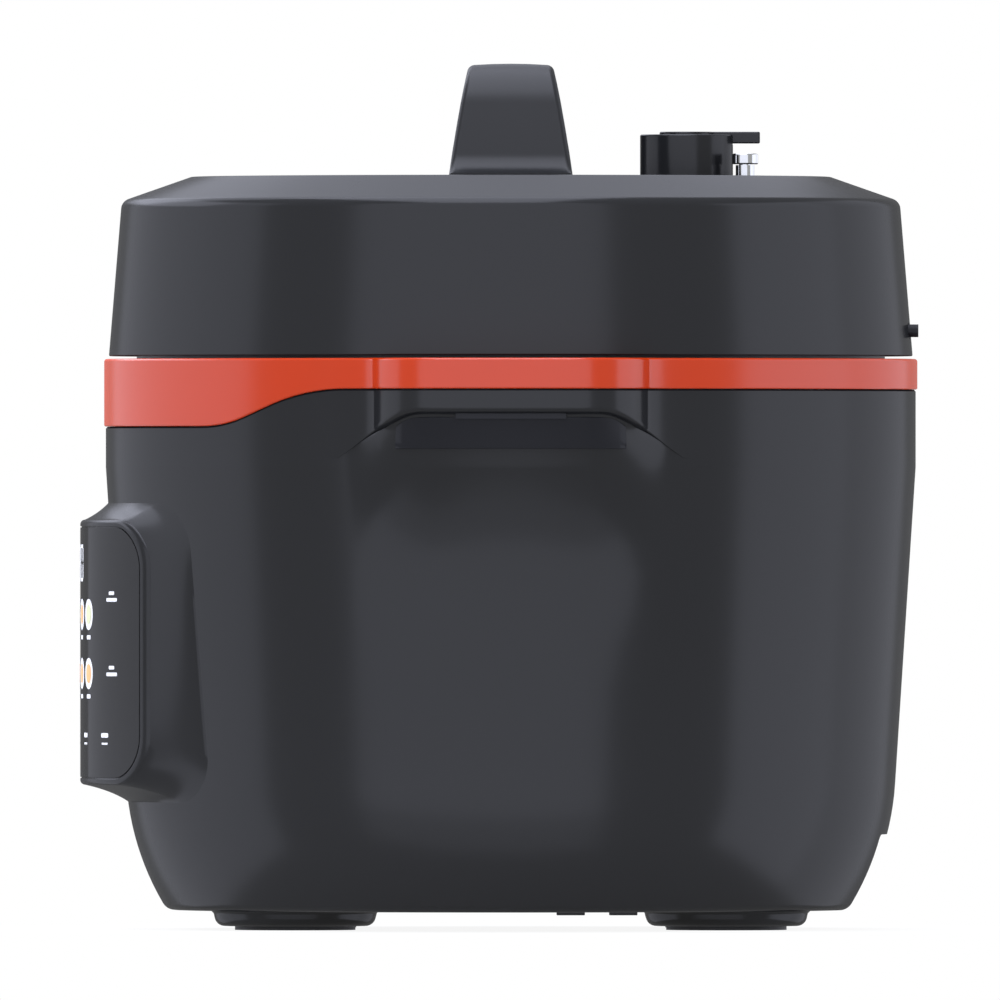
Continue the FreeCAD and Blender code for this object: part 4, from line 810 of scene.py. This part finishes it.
def scooped(spot, radius, z):
    """The spot's column on the body, drawn in softly where fingers reach under a grip."""
    low_z = LIP_Z - SWEEP_DROP
    width = 1 - smooth_step(abs(spot.y), SWEEP_FLAT, SWEEP_END)
    scoop = SCOOP_DEPTH * width * smooth_step(z, low_z - SCOOP_RUN, low_z)
    return lifted(on_circle(spot, radius) - Vector((math.copysign(scoop, spot.x), 0)), z)


def swept(spot, radius, z):
    """The spot's column on the scooped body, swept out in a concave curve to the underside of a grip."""
    low_z = LIP_Z - SWEEP_DROP
    share = min(1, max(0, (z - low_z) / (lip_z(spot.y) - low_z)))
    face = GRIP_REACH - BAND_PROUD - LIP_ROUND - ROOF_RUN - abs(on_circle(spot, BODY_RADIUS).x)
    width = 1 - smooth_step(abs(spot.y), SWEEP_FLAT, SWEEP_END)
    reach = Vector((math.copysign(width * (face + SCOOP_DEPTH) * share ** SWEEP_POWER, spot.x), 0, 0))
    return scooped(spot, radius, z) + reach


def heel_spot(angle, inset):
    """Radius and height on the housing's rounded heel."""
    radius = HEEL_RADIUS - inset
    return HEEL_CENTRE_R + radius * math.cos(angle), HEEL_CENTRE_Z - radius * math.sin(angle)


def body_profile(inset):
    """Radii and heights of the housing's side from the top of its taper down to its bottom edge."""
    profile = []
    taper_rows = 12
    waist = heel_spot(TAPER, inset)
    for row in range(taper_rows):
        share = (row / taper_rows) ** 2
        radius = BODY_RADIUS - inset + (waist[0] - BODY_RADIUS + inset) * share
        profile.append((radius, UPRIGHT_Z + (waist[1] - UPRIGHT_Z) * share))
    heel_rows = 12
    end = math.asin((HEEL_CENTRE_Z - HOUSING_Z) / (HEEL_RADIUS - inset))
    for row in range(heel_rows + 1):
        profile.append(heel_spot(TAPER + (end - TAPER) * row / heel_rows, inset))
    return profile


def bottom_edge():
    """Radii and heights of the rounded edge from the heel in under the housing."""
    edge_rows = 6
    heel_end, heel_end_z = body_profile(0)[-1]
    start = math.asin((HEEL_CENTRE_Z - HOUSING_Z) / HEEL_RADIUS)
    radius = (HOUSING_Z - BASE_Z) / (1 - math.sin(start))
    centre = Vector((heel_end - radius * math.cos(start), heel_end_z + radius * math.sin(start)))
    edge = arc(centre, radius, -start, -QUARTER_TURN, edge_rows)
    return [tuple(spot) for spot in edge[1:]] + [(centre.x, BASE_Z)]


def body_radius(z):
    """Outside radius of the round body at a height."""
    if z >= UPRIGHT_Z:
        return BODY_RADIUS
    if z >= WAIST_Z:
        return BODY_RADIUS - (UPRIGHT_Z - z) * math.tan(TAPER)
    return HEEL_CENTRE_R + math.sqrt(HEEL_RADIUS ** 2 - (HEEL_CENTRE_Z - z) ** 2)


def housing():
    """Outer shell with the two grips' lips, the finger hollows and the power recess."""
    outer = rim_spots(BAND_PROUD)
    drawn_in = rim_spots(BAND_PROUD + LIP_ROUND)
    edge = rim_spots(BAND_PROUD + BAND_LOW_ROUND)
    rows = [[lifted(on_circle(spot, NECK_RADIUS), seam(spot.y)) for spot in outer]]
    rows.append([lifted(spot, seam(spot.y)) for spot in edge])
    rows.append([lifted(spot, seam(spot.y) - BAND_LOW_ROUND) for spot in outer])
    roundness = [min(1, grip_depth(spot) / LIP_FULL_DEPTH) for spot in outer]
    lip_rows = 5
    for rise, inset in quarter_round(1, lip_rows):
        ring = []
        for spot, inner, amount in zip(outer, drawn_in, roundness):
            place = spot.lerp(inner, amount * inset)
            ring.append(lifted(place, lip_z(spot.y) + LIP_ROUND * amount * rise))
        rows.append(ring)
    lip_edge = rows[-1]
    roof_rows = 7
    for row in range(1, roof_rows + 1):
        share = row / roof_rows
        ring = []
        for spot, start, amount in zip(outer, lip_edge, roundness):
            corner = swept(spot, BODY_RADIUS, start.z)
            end = swept(spot, BODY_RADIUS, start.z - ROOF_FILLET * amount)
            ring.append(start.lerp(corner, share).lerp(corner.lerp(end, share), share))
        rows.append(ring)
    back_rows = 8
    for row in range(1, back_rows):
        ring = []
        for spot, amount in zip(outer, roundness):
            low_z = lip_z(spot.y) - ROOF_FILLET * amount
            ring.append(swept(spot, BODY_RADIUS, low_z + (UPRIGHT_Z - low_z) * row / back_rows))
        rows.append(ring)
    for radius, z in body_profile(0) + bottom_edge():
        rows.append([swept(spot, radius, z) for spot in outer])
    for radius, z in reversed(body_profile(WALL)):
        rows.append([scooped(spot, radius, z) for spot in outer])
    rows.append(rows[0])
    piece = rows_piece("housing", rows)
    walls = recess_block("recess_walls", WALL, RECESS_FLOOR_Y - WALL, HOUSING_Z)
    within = [(0, HOUSING_Z - WALL), (0, UPRIGHT_Z)] + body_profile(WALL / 2)
    combine(walls, lathe("recess_bound", within), "INTERSECT")
    combine(piece, walls, "UNION")
    combine(piece, recess_block("recess_room", 0, RECESS_FLOOR_Y, 0), "DIFFERENCE")
    settle(piece, "base", "charcoal_plastic", "outer_housing", "grip_collar", "power_recess")


def recess_block(name, grow, start_y, low_z):
    """Bar with the power recess's section, running out through the rear."""
    half = RECESS_HALF + grow
    top_z = RECESS_TOP_Z + grow
    outline = [(-half, low_z), (half, low_z), (half, top_z, RECESS_ROUND), (-half, top_z, RECESS_ROUND)]
    return slab(name, outline, upright(start_y), Vector((0, BODY_RADIUS, 0)))


def handle_insert(name, side, node):
    """Plate let into the sweep under a grip, with slanted ends and a thin rail tucked behind the lip."""
    stations = 40
    rise_steps = 6
    middle = INSERT_HALF - INSERT_END
    places = [-INSERT_HALF] + [middle * (2 * station / stations - 1) for station in range(stations + 1)]
    places.append(INSERT_HALF)
    rows = []
    for y in places:
        column = Vector((side * BODY_RADIUS, y))
        into_corner = max(0, abs(y) - INSERT_FLAT) / (INSERT_HALF - INSERT_FLAT)
        height = INSERT_TOP_Z - INSERT_LOW_Z - INSERT_CORNER * into_corner ** 2
        set_in = INSERT_END_DEPTH if abs(y) > middle else 0
        row = []
        for step in range(rise_steps + 1):
            place = swept(column, BODY_RADIUS, INSERT_LOW_Z + height * step / rise_steps)
            row.append(place + Vector((side * (INSERT_PROUD - set_in), 0, 0)))
        rows.append(row)
    plate = rows_piece(name, rows, closed=False)
    face_outwards(plate, Vector((side, 0, 0)))
    thicken(plate, INSERT_WALL)
    bevel(plate, INSERT_SOFTEN)
    low_z = LIP_Z - RAIL_DROP
    outline = box_outline(-RAIL_HALF, RAIL_HALF, low_z, low_z + RAIL_HEIGHT)
    rail = slab(name + "_rail", outline, lambda y, z: Vector((side * BODY_RADIUS, y, z)),
                Vector((side * (GRIP_REACH - RAIL_SET_IN - BODY_RADIUS), 0, 0)))
    bevel(rail, RAIL_SOFTEN)
    settle(join([plate, rail], name), "base", "black_plastic", node)


def trim_band():
    """Coloured rim with a flat deck, deeper at the front, running round both grips."""
    outer = rim_spots(0)
    rows = []
    low_rows = 3
    for inset, rise in quarter_round(BAND_LOW_ROUND, low_rows):
        height = BAND_GAP + rise
        rows.append([lifted(spot, seam(mark.y) + height) for spot, mark in zip(rim_spots(inset), outer)])
    top_rows = 4
    for drop, inset in quarter_round(BAND_TOP_ROUND, top_rows):
        rows.append([lifted(spot, BAND_TOP_Z - drop) for spot in rim_spots(inset)])
    rows.append([lifted(on_circle(spot, DECK_HOLE + BAND_LOW_ROUND), BAND_TOP_Z) for spot in outer])
    rows.append([lifted(on_circle(spot, DECK_HOLE), BAND_TOP_Z - BAND_LOW_ROUND) for spot in outer])
    rows.append([lifted(on_circle(spot, DECK_HOLE), BAND_TOP_Z - DECK) for spot in outer])
    inside = rim_spots(BAND_WALL)
    rows.append([lifted(spot, BAND_TOP_Z - DECK) for spot in inside])
    rows.append([lifted(spot, seam(mark.y) + BAND_GAP) for spot, mark in zip(inside, outer)])
    rows.append(rows[0])
    settle(rows_piece("trim_band_rim", rows), "base", "orange_plastic", "trim_band")


# Base plate

def base_cover():
    """Bottom cover flush with the housing, with round feet, catches, air slots and screw posts."""
    edge = bottom_edge()[-1][0] - BASE_SEAM
    piece = lathe("bottom_cover", [
        (0, BASE_Z),
        (edge, BASE_Z, BASE_ROUND),
        (edge, HOUSING_Z + UPSTAND),
        (edge - WALL, HOUSING_Z + UPSTAND),
        (edge - WALL, HOUSING_Z),
        (0, HOUSING_Z),
    ])
    foot_outline = [
        (0, FOOT_Z),
        (FOOT_RADIUS - FOOT_DRAFT, FOOT_Z, FOOT_ROUND),
        (FOOT_RADIUS, BASE_Z - FOOT_FLARE, FOOT_FLARE),
        (FOOT_RADIUS + FOOT_FLARE, BASE_Z),
        (FOOT_RADIUS, HOUSING_Z - WALL / 2),
        (0, HOUSING_Z - WALL / 2),
    ]
    pad_outline = box_outline(0, PAD_RADIUS, 0, FOOT_Z + PAD_SEAT)
    post_outline = box_outline(0, POST_RADIUS, BASE_Z + BASE_SEAM, HOUSING_Z + POST_HEIGHT)
    hole_top_z = HOUSING_Z + 2 * POST_HEIGHT
    hole_outline = [
        (0, 0),
        (SCREW_HEAD, 0),
        (SCREW_HEAD, HOUSING_Z),
        (SCREW_RADIUS, HOUSING_Z),
        (SCREW_RADIUS, hole_top_z),
        (0, hole_top_z),
    ]
    for side_x in (-1, 1):
        for side_y in (-1, 1):
            foot = (side_x * FOOT_X, side_y * FOOT_Y)
            post = (side_x * POST_SIDE, side_y * POST_SIDE)
            combine(piece, lathe("foot", foot_outline, *foot, steps=FOOT_STEPS), "UNION")
            combine(piece, lathe("pad_seat", pad_outline, *foot, steps=FOOT_STEPS), "DIFFERENCE")
            combine(piece, lathe("screw_post", post_outline, *post, steps=POST_STEPS), "UNION")
            combine(piece, lathe("screw_hole", hole_outline, *post, steps=POST_STEPS), "DIFFERENCE")
    for y in CATCH_YS:
        catch = box_outline(-CATCH_HALF, CATCH_HALF, y - CATCH_HALF, y + CATCH_HALF)
        tab = slab("catch", catch, level(BASE_Z - CATCH_DROP), Vector((0, 0, CATCH_DROP + BASE_SEAM)))
        bevel(tab, CATCH_SOFTEN)
        combine(piece, tab, "UNION")
    for slot in range(VENT_SLOTS):
        x = (slot - (VENT_SLOTS - 1) / 2) * VENT_PITCH
        vent = box_outline(x - VENT_WIDTH / 2, x + VENT_WIDTH / 2, -VENT_LENGTH, 0)
        combine(piece, slab("air_slot", vent, level(0), Vector((0, 0, 2 * HOUSING_Z))), "DIFFERENCE")
    combine(piece, recess_block("recess_notch", WALL, RECESS_FLOOR_Y - WALL, HOUSING_Z), "DIFFERENCE")
    combine(piece, recess_block("recess_mouth", 0, RECESS_FLOOR_Y, 0), "DIFFERENCE")
    settle(piece, "base", "charcoal_plastic", "base_plate")


# Control pod

def panel_y(x, depth):
    """Y of the curved panel at a distance from the middle, set back by depth."""
    return PANEL_AXIS_Y - math.sqrt((PANEL_RADIUS - depth) ** 2 - x ** 2)


def pod_ring(half, low_z, high_z, corner):
    """Rounded rectangle of (x, z) spots, the same number for every size."""
    steps = 12
    side_steps = 20
    spots = []
    corners = [(half - corner, low_z + corner, -QUARTER_TURN), (half - corner, high_z - corner, 0),
               (corner - half, high_z - corner, QUARTER_TURN), (corner - half, low_z + corner, math.pi)]
    for (x, z, start), following_corner in zip(corners, corners[1:] + corners[:1]):
        end = start + QUARTER_TURN
        spots += arc(Vector((x, z)), corner, start, end, steps)
        here = Vector((x, z)) + corner * heading(end)
        there = Vector(following_corner[:2]) + corner * heading(end)
        spots += [here.lerp(there, step / side_steps) for step in range(side_steps)]
    return spots


def rim_ring(grow, depth):
    """Ring of spots round the glass, grown by a distance and set back from the panel's face."""
    spots = pod_ring(GLASS_HALF + grow, GLASS_Z - grow, GLASS_TOP_Z + grow, GLASS_CORNER + grow)
    return [Vector((spot.x, panel_y(spot.x, depth), spot.y)) for spot in spots]


def control_pod():
    """Frame round the touch panel, flared out onto the body: full at its sides, hollow above and below."""
    rows = [
        rim_ring(-RIM_TUCK, GROOVE_DEPTH),
        rim_ring(RIM_GROOVE, GROOVE_DEPTH),
        rim_ring(RIM_GROOVE, GROOVE_EDGE),
        rim_ring(RIM_GROOVE + GROOVE_EASE, 0),
    ]
    round_rows = 6
    for inset, depth in quarter_round(RIM_ROUND, round_rows):
        rows.append(rim_ring(PANEL_RIM - inset, depth))
    edge = rows[-1]
    landing = []
    for spot in pod_ring(POD_HALF, POD_LOW_Z, POD_TOP_Z, POD_CORNER):
        landing.append(Vector((spot.x, -math.sqrt(body_radius(spot.y) ** 2 - spot.x ** 2), spot.y)))
    flare_rows = 10
    middle_z = (GLASS_Z + GLASS_TOP_Z) / 2
    half_height = GLASS_TOP_Z + PANEL_RIM - middle_z
    for row in range(1, flare_rows + 1):
        share = row / flare_rows
        ring = []
        for start, end in zip(edge, landing):
            height = (start.z - middle_z) / half_height
            bend = FLARE_SIDE + (FLARE_TOP if height > 0 else FLARE_FOOT) * height ** FLARE_POWER
            turn = start.lerp(end, FLARE_TURN - FLARE_TURN_END * height ** 2)
            control = turn.lerp(Vector((start.x, end.y, start.z)), bend)
            ring.append(start.lerp(control, share).lerp(control.lerp(end, share), share))
        rows.append(ring)
    rows.append([spot + Vector((0, WALL, 0)) for spot in landing])
    settle(rows_piece("pod_frame", rows), "base", "charcoal_plastic", "control_pod")


def control_glass():
    """Curved touch panel with rounded corners and a softened edge."""
    stations = 56
    rise_steps = 10
    middle_z = (GLASS_Z + GLASS_TOP_Z) / 2
    rows = []
    for station in range(stations + 1):
        x = -GLASS_HALF * math.cos(math.pi * station / stations)
        into_corner = max(abs(x) - GLASS_HALF + GLASS_CORNER, 0)
        corner_drop = GLASS_CORNER - math.sqrt(GLASS_CORNER ** 2 - into_corner ** 2)
        half_height = (GLASS_TOP_Z - GLASS_Z) / 2 - corner_drop
        row = []
        for step in range(rise_steps + 1):
            row.append(Vector((x, panel_y(x, 0), middle_z + half_height * (2 * step / rise_steps - 1))))
        rows.append(row)
    piece = rows_piece("touch_glass", rows, closed=False)
    face_outwards(piece, Vector((0, -1, 0)))
    thicken(piece, GLASS_THICKNESS)
    bevel(piece, GLASS_SOFTEN)
    settle(piece, "base", "panel_glass", "control_glass")


# Lid

def lid_cover():
    """Tapered lid shell with a rounded shoulder, a coned crown and the lock pin's hole."""
    inner_shoulder = SHOULDER_Z - WALL
    piece = lathe("lid_shell", [
        (0, LID_TOP_Z),
        (CROWN_RADIUS, LID_TOP_Z, SHOULDER_ROUND),
        (SHOULDER_RADIUS, SHOULDER_Z, SHOULDER_ROUND),
        (LID_RADIUS, LID_Z, LID_EDGE_ROUND),
        (LID_RADIUS - WALL, LID_Z, LID_EDGE_ROUND),
        (SHOULDER_RADIUS - WALL, inner_shoulder, WALL),
        (CROWN_RADIUS, LID_TOP_Z - WALL, WALL),
        (0, LID_TOP_Z - WALL),
    ])
    holes = [
        lathe("valve_hole", upright_hole(SPIGOT_RADIUS), y=STEAM_Y),
        lathe("float_hole", upright_hole(SLEEVE_RADIUS), x=FLOAT_X, y=FLOAT_Y),
    ]
    spots = arc(Vector((FLOAT_X, LOCK_Z)), LOCK_RADIUS + NOTCH_EASE, 0, FULL_TURN, ROUND_STEPS)
    holes.append(slab("lock_hole", spots, upright(CROWN_RADIUS), Vector((0, CROWN_RADIUS, 0))))
    for hole in holes:
        combine(piece, hole, "DIFFERENCE")
    settle(piece, "lid", "charcoal_plastic", "lid_cover")


def upright_hole(radius):
    """Outline of a hole through the lid's flat top."""
    return box_outline(0, radius, LID_TOP_Z - 3 * WALL, LID_TOP_Z + WALL)


def handle_half(z):
    """Half width of the lid handle at a height."""
    share = (z - LID_TOP_Z) / (HANDLE_TOP_Z - LID_TOP_Z)
    taper = HANDLE_BASE_HALF + (HANDLE_TOP_HALF - HANDLE_BASE_HALF) * share
    return taper + 4 * HANDLE_BULGE * share * (1 - share)


def handle_outline(inset):
    """Side outline of the lid handle as (x, z) spots, drawn in by inset."""
    end = HANDLE_HALF - inset
    leg = HANDLE_HALF - HANDLE_FLARE - inset
    toe_z = LID_TOP_Z + HANDLE_TOE - inset * HANDLE_TOE_SHARE
    top_z = HANDLE_TOP_Z - inset
    gap = GAP_HALF + inset
    gap_z = LID_TOP_Z + GAP_HEIGHT + inset
    return rounded([
        (-end, LID_TOP_Z),
        (-gap, LID_TOP_Z),
        (GAP_LEAN - gap, gap_z, GAP_ROUND + inset),
        (gap - GAP_LEAN, gap_z, GAP_ROUND + inset),
        (gap, LID_TOP_Z),
        (end, LID_TOP_Z),
        (end, toe_z),
        (leg, toe_z, HANDLE_FLARE_ROUND + inset),
        (leg - HANDLE_LEAN, top_z, HANDLE_TOP_ROUND - inset),
        (HANDLE_LEAN - leg, top_z, HANDLE_TOP_ROUND - inset),
        (-leg, toe_z, HANDLE_FLARE_ROUND + inset),
        (-end, toe_z),
    ])


def lid_handle():
    """Arched grip across the lid with flared feet, rounded edges and a slightly crowned top."""
    edge_rows = 5
    stations = [(inset, setback, 1) for inset, setback in quarter_round(HANDLE_ROUND, edge_rows)]
    stations += [(0, HANDLE_ROUND, 0.5), (0, HANDLE_ROUND, 0)]
    stations += [(inset, setback, -share) for inset, setback, share in reversed(stations[:-1])]
    rows = []
    for inset, setback, share in stations:
        row = []
        for spot in handle_outline(inset):
            half = handle_half(spot.y)
            y = (half - setback) * share
            rise = (spot.y - LID_TOP_Z) / (HANDLE_TOP_Z - LID_TOP_Z)
            crown = HANDLE_CROWN * (y / half) ** 2 * rise ** HANDLE_CROWN_POWER
            row.append(Vector((spot.x, y, spot.y - crown)))
        rows.append(row)
    piece = rows_piece("lid_grip", rows, capped=True)
    settle(piece, "lid", "charcoal_plastic", "lid_handle", finish="satin_charcoal")


def steam_collar():
    """Round wall about the steam valve, notched at the rear for the lever's swing."""
    top_z = LID_TOP_Z + COLLAR_HEIGHT
    inside = COLLAR_RADIUS - COLLAR_WALL
    piece = lathe("valve_collar", [
        (VALVE_BORE, LID_TOP_Z - WALL),
        (SPIGOT_RADIUS, LID_TOP_Z - WALL),
        (SPIGOT_RADIUS, LID_TOP_Z),
        (COLLAR_RADIUS, LID_TOP_Z),
        (COLLAR_RADIUS, top_z, COLLAR_ROUND),
        (inside, top_z, COLLAR_ROUND),
        (inside, LID_TOP_Z + COLLAR_WALL),
        (VALVE_BORE, LID_TOP_Z + COLLAR_WALL),
    ], y=STEAM_Y)
    start = QUARTER_TURN - math.asin((LEVER_NEAR + NOTCH_EASE) / COLLAR_RADIUS)
    end = QUARTER_TURN + LEVER_SWING + math.asin((LEVER_FAR + NOTCH_EASE) / inside)
    fan = [(0, 0)] + sector(2 * COLLAR_RADIUS, start, end, NOTCH_STEPS)
    notch = slab("lever_notch", fan, lambda x, y: Vector((x, STEAM_Y + y, LEVER_Z - NOTCH_EASE)),
                 Vector((0, 0, COLLAR_HEIGHT)))
    combine(piece, notch, "DIFFERENCE")
    settle(piece, "lid", "charcoal_plastic", "steam_collar")


def steam_lever():
    """Flat release lever: a round hub with a tab that reaches out through the notch."""
    start = QUARTER_TURN + math.asin(LEVER_FAR / LEVER_HUB)
    end = QUARTER_TURN + FULL_TURN - math.asin(LEVER_NEAR / LEVER_HUB)
    corner = LEVER_NEAR / 2
    tab = [(LEVER_NEAR, LEVER_REACH, corner), (-LEVER_FAR, LEVER_REACH, corner)]
    outline = tab + sector(LEVER_HUB, start, end, ROUND_STEPS)
    piece = slab("valve_lever", outline, lambda x, y: Vector((x, STEAM_Y + y, LEVER_Z)),
                 Vector((0, 0, LEVER_TOP_Z - LEVER_Z)))
    bevel(piece, LEVER_SOFTEN)
    settle(piece, "steam_valve", "charcoal_plastic", "steam_lever")


# Springs

def coil_spring(name, node, body, aside, along):
    """Coil spring in the place of a node, with a mesh of its own."""
    low, high = span(node)
    length = (high - low).dot(along)
    radius = (high.x - low.x) / 2 - SPRING_WIRE
    foot = (low + high - along * length) / 2
    steps = SPRING_STEPS * round(length / SPRING_PITCH)
    rise = (length - 2 * SPRING_WIRE) / steps
    rows = []
    for step in range(steps + 1):
        angle = FULL_TURN * step / SPRING_STEPS
        outwards = Vector((math.cos(angle), 0, 0)) + aside * math.sin(angle)
        middle = foot + outwards * radius + along * (SPRING_WIRE + rise * step)
        ring = []
        for side in range(SPRING_SIDES):
            turn = FULL_TURN * side / SPRING_SIDES
            ring.append(middle + (outwards * math.cos(turn) + along * math.sin(turn)) * SPRING_WIRE)
        rows.append(ring)
    piece = settle(rows_piece(name, rows, capped=True), body, "steel", node)
    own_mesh(piece)


# Panel print

def printed(piece):
    """Wraps a flat shape drawn at Y = 0 onto the curved glass, a hair proud of it."""
    for vertex in piece.data.vertices:
        vertex.co.y += panel_y(vertex.co.x, -PRINT_PROUD)
    return piece


def printed_disc(x, z, radius):
    """Round dot of ink."""
    spots = arc(Vector((x, z)), radius, 0, FULL_TURN, ROUND_STEPS)
    return printed(slab("ink_dot", spots, upright(0), Vector((0, PRINT_PROUD, 0))))


def printed_bar(x, z, size):
    """Bar of ink with rounded ends, of a (width, height) size."""
    half = size[0] / 2
    rise = size[1] / 2
    outline = box_outline(x - half, x + half, z - rise, z + rise, BAR_CORNER_SHARE * size[1])
    return printed(slab("ink_bar", outline, upright(0), Vector((0, PRINT_PROUD, 0))))


def printed_segment(x, z, length, upright_bar):
    """One pointed bar of a seven-segment digit."""
    half = length / 2
    rise = DIGIT_STROKE / 2
    shoulder = half - rise
    under = [(-half, 0), (-shoulder, -rise), (shoulder, -rise)]
    outline = under + [(-u, -v) for u, v in under]
    if upright_bar:
        outline = [(v, u) for u, v in outline]
    outline = [(x + u, z + v) for u, v in outline]
    return printed(slab("ink_segment", outline, upright(0), Vector((0, PRINT_PROUD, 0))))


def printed_digit(x, z, digit):
    """The lit bars of a seven-segment digit, twice as high as it is wide."""
    half = DIGIT_WIDTH / 2
    length = DIGIT_WIDTH - DIGIT_STROKE / 3
    bars = {
        "top": (0, DIGIT_WIDTH, False),
        "upper_right": (half, half, True),
        "lower_right": (half, -half, True),
        "bottom": (0, -DIGIT_WIDTH, False),
        "lower_left": (-half, -half, True),
        "upper_left": (-half, half, True),
        "middle": (0, 0, False),
    }
    dark = {"0": ("middle",), "3": ("lower_left", "upper_left")}[digit]
    segments = []
    for bar, (aside, rise, upright_bar) in bars.items():
        if bar not in dark:
            segments.append(printed_segment(x + aside, z + rise, length, upright_bar))
    return segments


def panel_print():
    """Clock digits, round programme keys and plain bars."""
    white = []
    clock = "0030"
    for place, digit in enumerate(clock):
        white += printed_digit((place - (len(clock) - 1) / 2) * DIGIT_PITCH, DIGIT_Z, digit)
    for side in (-1, 1):
        white.append(printed_disc(0, DIGIT_Z + side * DIGIT_WIDTH / 3, DIGIT_STROKE / 2))
    dishes = {"amber": [], "leaf": []}
    for row, z in enumerate(KEY_ROWS):
        for column in KEY_COLUMNS:
            x = column * KEY_PITCH
            white.append(printed_disc(x, z, KEY_RADIUS))
            white.append(printed_bar(x, z - KEY_LABEL_DROP, KEY_LABEL))
            dish = printed_disc(x, z, KEY_DISH)
            for vertex in dish.data.vertices:
                vertex.co.y -= PRINT_PROUD
            dishes["leaf" if row == 0 and column % 2 == 0 else "amber"].append(dish)
    for side in (-1, 1):
        for z in MARK_ROWS:
            white.append(printed_bar(side * MARK_X, z + MARK_RISE, MARK_SHORT))
            white.append(printed_bar(side * MARK_X, z - MARK_RISE, MARK_LONG))
    for column in KEY_COLUMNS:
        x = column * MENU_PITCH
        white.append(printed_bar(x, MENU_Z, MENU_BAR))
        white.append(printed_bar(x, MENU_Z - MENU_LINE_DROP, MENU_LINE))
    settle(join(white, "panel_print"), "base", "panel_glass", finish="white_ink")
    for colour, pieces in dishes.items():
        settle(join(pieces, "panel_print_" + colour), "base", "panel_glass", finish=colour + "_ink")


# Scene

def seen_rays(tree):
    """One for rays from the camera, a mirror or a clear piece, and zero for the light on the object."""
    path = tree.nodes.new("ShaderNodeLightPath")
    seen = path.outputs["Is Camera Ray"]
    for kind in ("Is Glossy Ray", "Is Transmission Ray"):
        either = add_node(tree, "ShaderNodeMath", {0: seen, 1: path.outputs[kind]})
        either.operation = "MAXIMUM"
        seen = either.outputs["Value"]
    return seen


def pale_floor():
    """Round pale floor that takes the shadow, fades into the white surround and is clear from below."""
    bpy.ops.object.select_all(action="DESELECT")
    bpy.ops.mesh.primitive_circle_add(vertices=FLOOR_STEPS, radius=FLOOR_RADIUS, fill_type="NGON",
                                      location=(0, 0, -FLOOR_GAP))
    floor = bpy.context.object
    floor.name = "studio_floor"
    material, tree, shader = new_material("pale_floor")
    feed(shader, {
        "Base Color": tint(grain(tree, scale=3, detail=2), *FLOOR_TONES),
        "Roughness": 0.9,
        "Specular IOR Level": 0.1,
    })
    place = tree.nodes.new("ShaderNodeTexCoord")
    mapping = add_node(tree, "ShaderNodeMapping", {
        "Vector": place.outputs["Object"],
        "Scale": (1 / FLOOR_RADIUS, 1 / FLOOR_RADIUS, 1),
    })
    fade = add_node(tree, "ShaderNodeTexGradient", {"Vector": mapping.outputs["Vector"]})
    fade.gradient_type = "SPHERICAL"
    share = add_node(tree, "ShaderNodeMapRange", {
        "Value": fade.outputs["Fac"],
        "From Max": FLOOR_FADE_START,
        "To Min": 1.0,
        "To Max": FLOOR_GLOW,
    })
    amount = add_node(tree, "ShaderNodeMath", {0: share.outputs["Result"], 1: seen_rays(tree)})
    amount.operation = "MULTIPLY"
    glow = tree.nodes.new("ShaderNodeEmission")
    mix = add_node(tree, "ShaderNodeMixShader", {
        "Fac": amount.outputs["Value"],
        1: shader.outputs["BSDF"],
        2: glow.outputs["Emission"],
    })
    side = tree.nodes.new("ShaderNodeNewGeometry")
    clear = tree.nodes.new("ShaderNodeBsdfTransparent")
    one_sided = add_node(tree, "ShaderNodeMixShader", {
        "Fac": side.outputs["Backfacing"],
        1: mix.outputs["Shader"],
        2: clear.outputs["BSDF"],
    })
    feed(tree.nodes["Material Output"], {"Surface": one_sided.outputs["Shader"]})
    floor.data.materials.append(material)
    floor.visible_glossy = False


def surround():
    """White all round where it is seen, and a soft even light on the object."""
    world = bpy.data.worlds.new("surround")
    world.use_nodes = True
    bpy.context.scene.world = world
    strength = vary(seen_rays(world.node_tree), SURROUND_LIGHT, 1.0)
    feed(world.node_tree.nodes["Background"], {"Color": WHITE, "Strength": strength})


def lamp(name, place, aim, width, height, brightness):
    """Soft rectangular lamp pointed at a spot."""
    turn = (Vector(aim) - Vector(place)).to_track_quat("-Z", "Y").to_euler()
    bpy.ops.object.light_add(type="AREA", location=place, rotation=turn)
    light = bpy.context.object
    light.name = name
    light.data.shape = "RECTANGLE"
    light.data.size = width
    light.data.size_y = height
    light.data.color = COOL_WHITE
    light.data.energy = brightness * math.pi * width * height


def camera():
    """Level view of the right side from far off, framed as the photograph."""
    place = CAMERA_AIM + Vector((CAMERA_DISTANCE, 0, 0))
    bpy.ops.object.camera_add(location=place, rotation=(QUARTER_TURN, 0, QUARTER_TURN))
    view = bpy.context.object
    view.name = "side_camera"
    view.data.sensor_width = SENSOR_WIDTH
    view.data.lens = CAMERA_LENS
    view.data.clip_end = 2 * CAMERA_DISTANCE
    bpy.context.scene.camera = view
    bpy.context.scene.view_settings.view_transform = "Standard"


dress_frame()
housing()
trim_band()
base_cover()
control_pod()
control_glass()
panel_print()
handle_insert("grip_insert_right", 1, "handle_insert_right")
handle_insert("grip_insert_left", -1, "handle_insert_left")
lid_cover()
lid_handle()
steam_collar()
steam_lever()
coil_spring("sensor_coil", "sensor_spring", "base", Vector((0, 1, 0)), Vector((0, 0, 1)))
coil_spring("lock_coil", "lock_spring", "lid", Vector((0, 0, -1)), Vector((0, 1, 0)))
pale_floor()
surround()
for softbox in SOFTBOXES:
    lamp(*softbox)
camera()
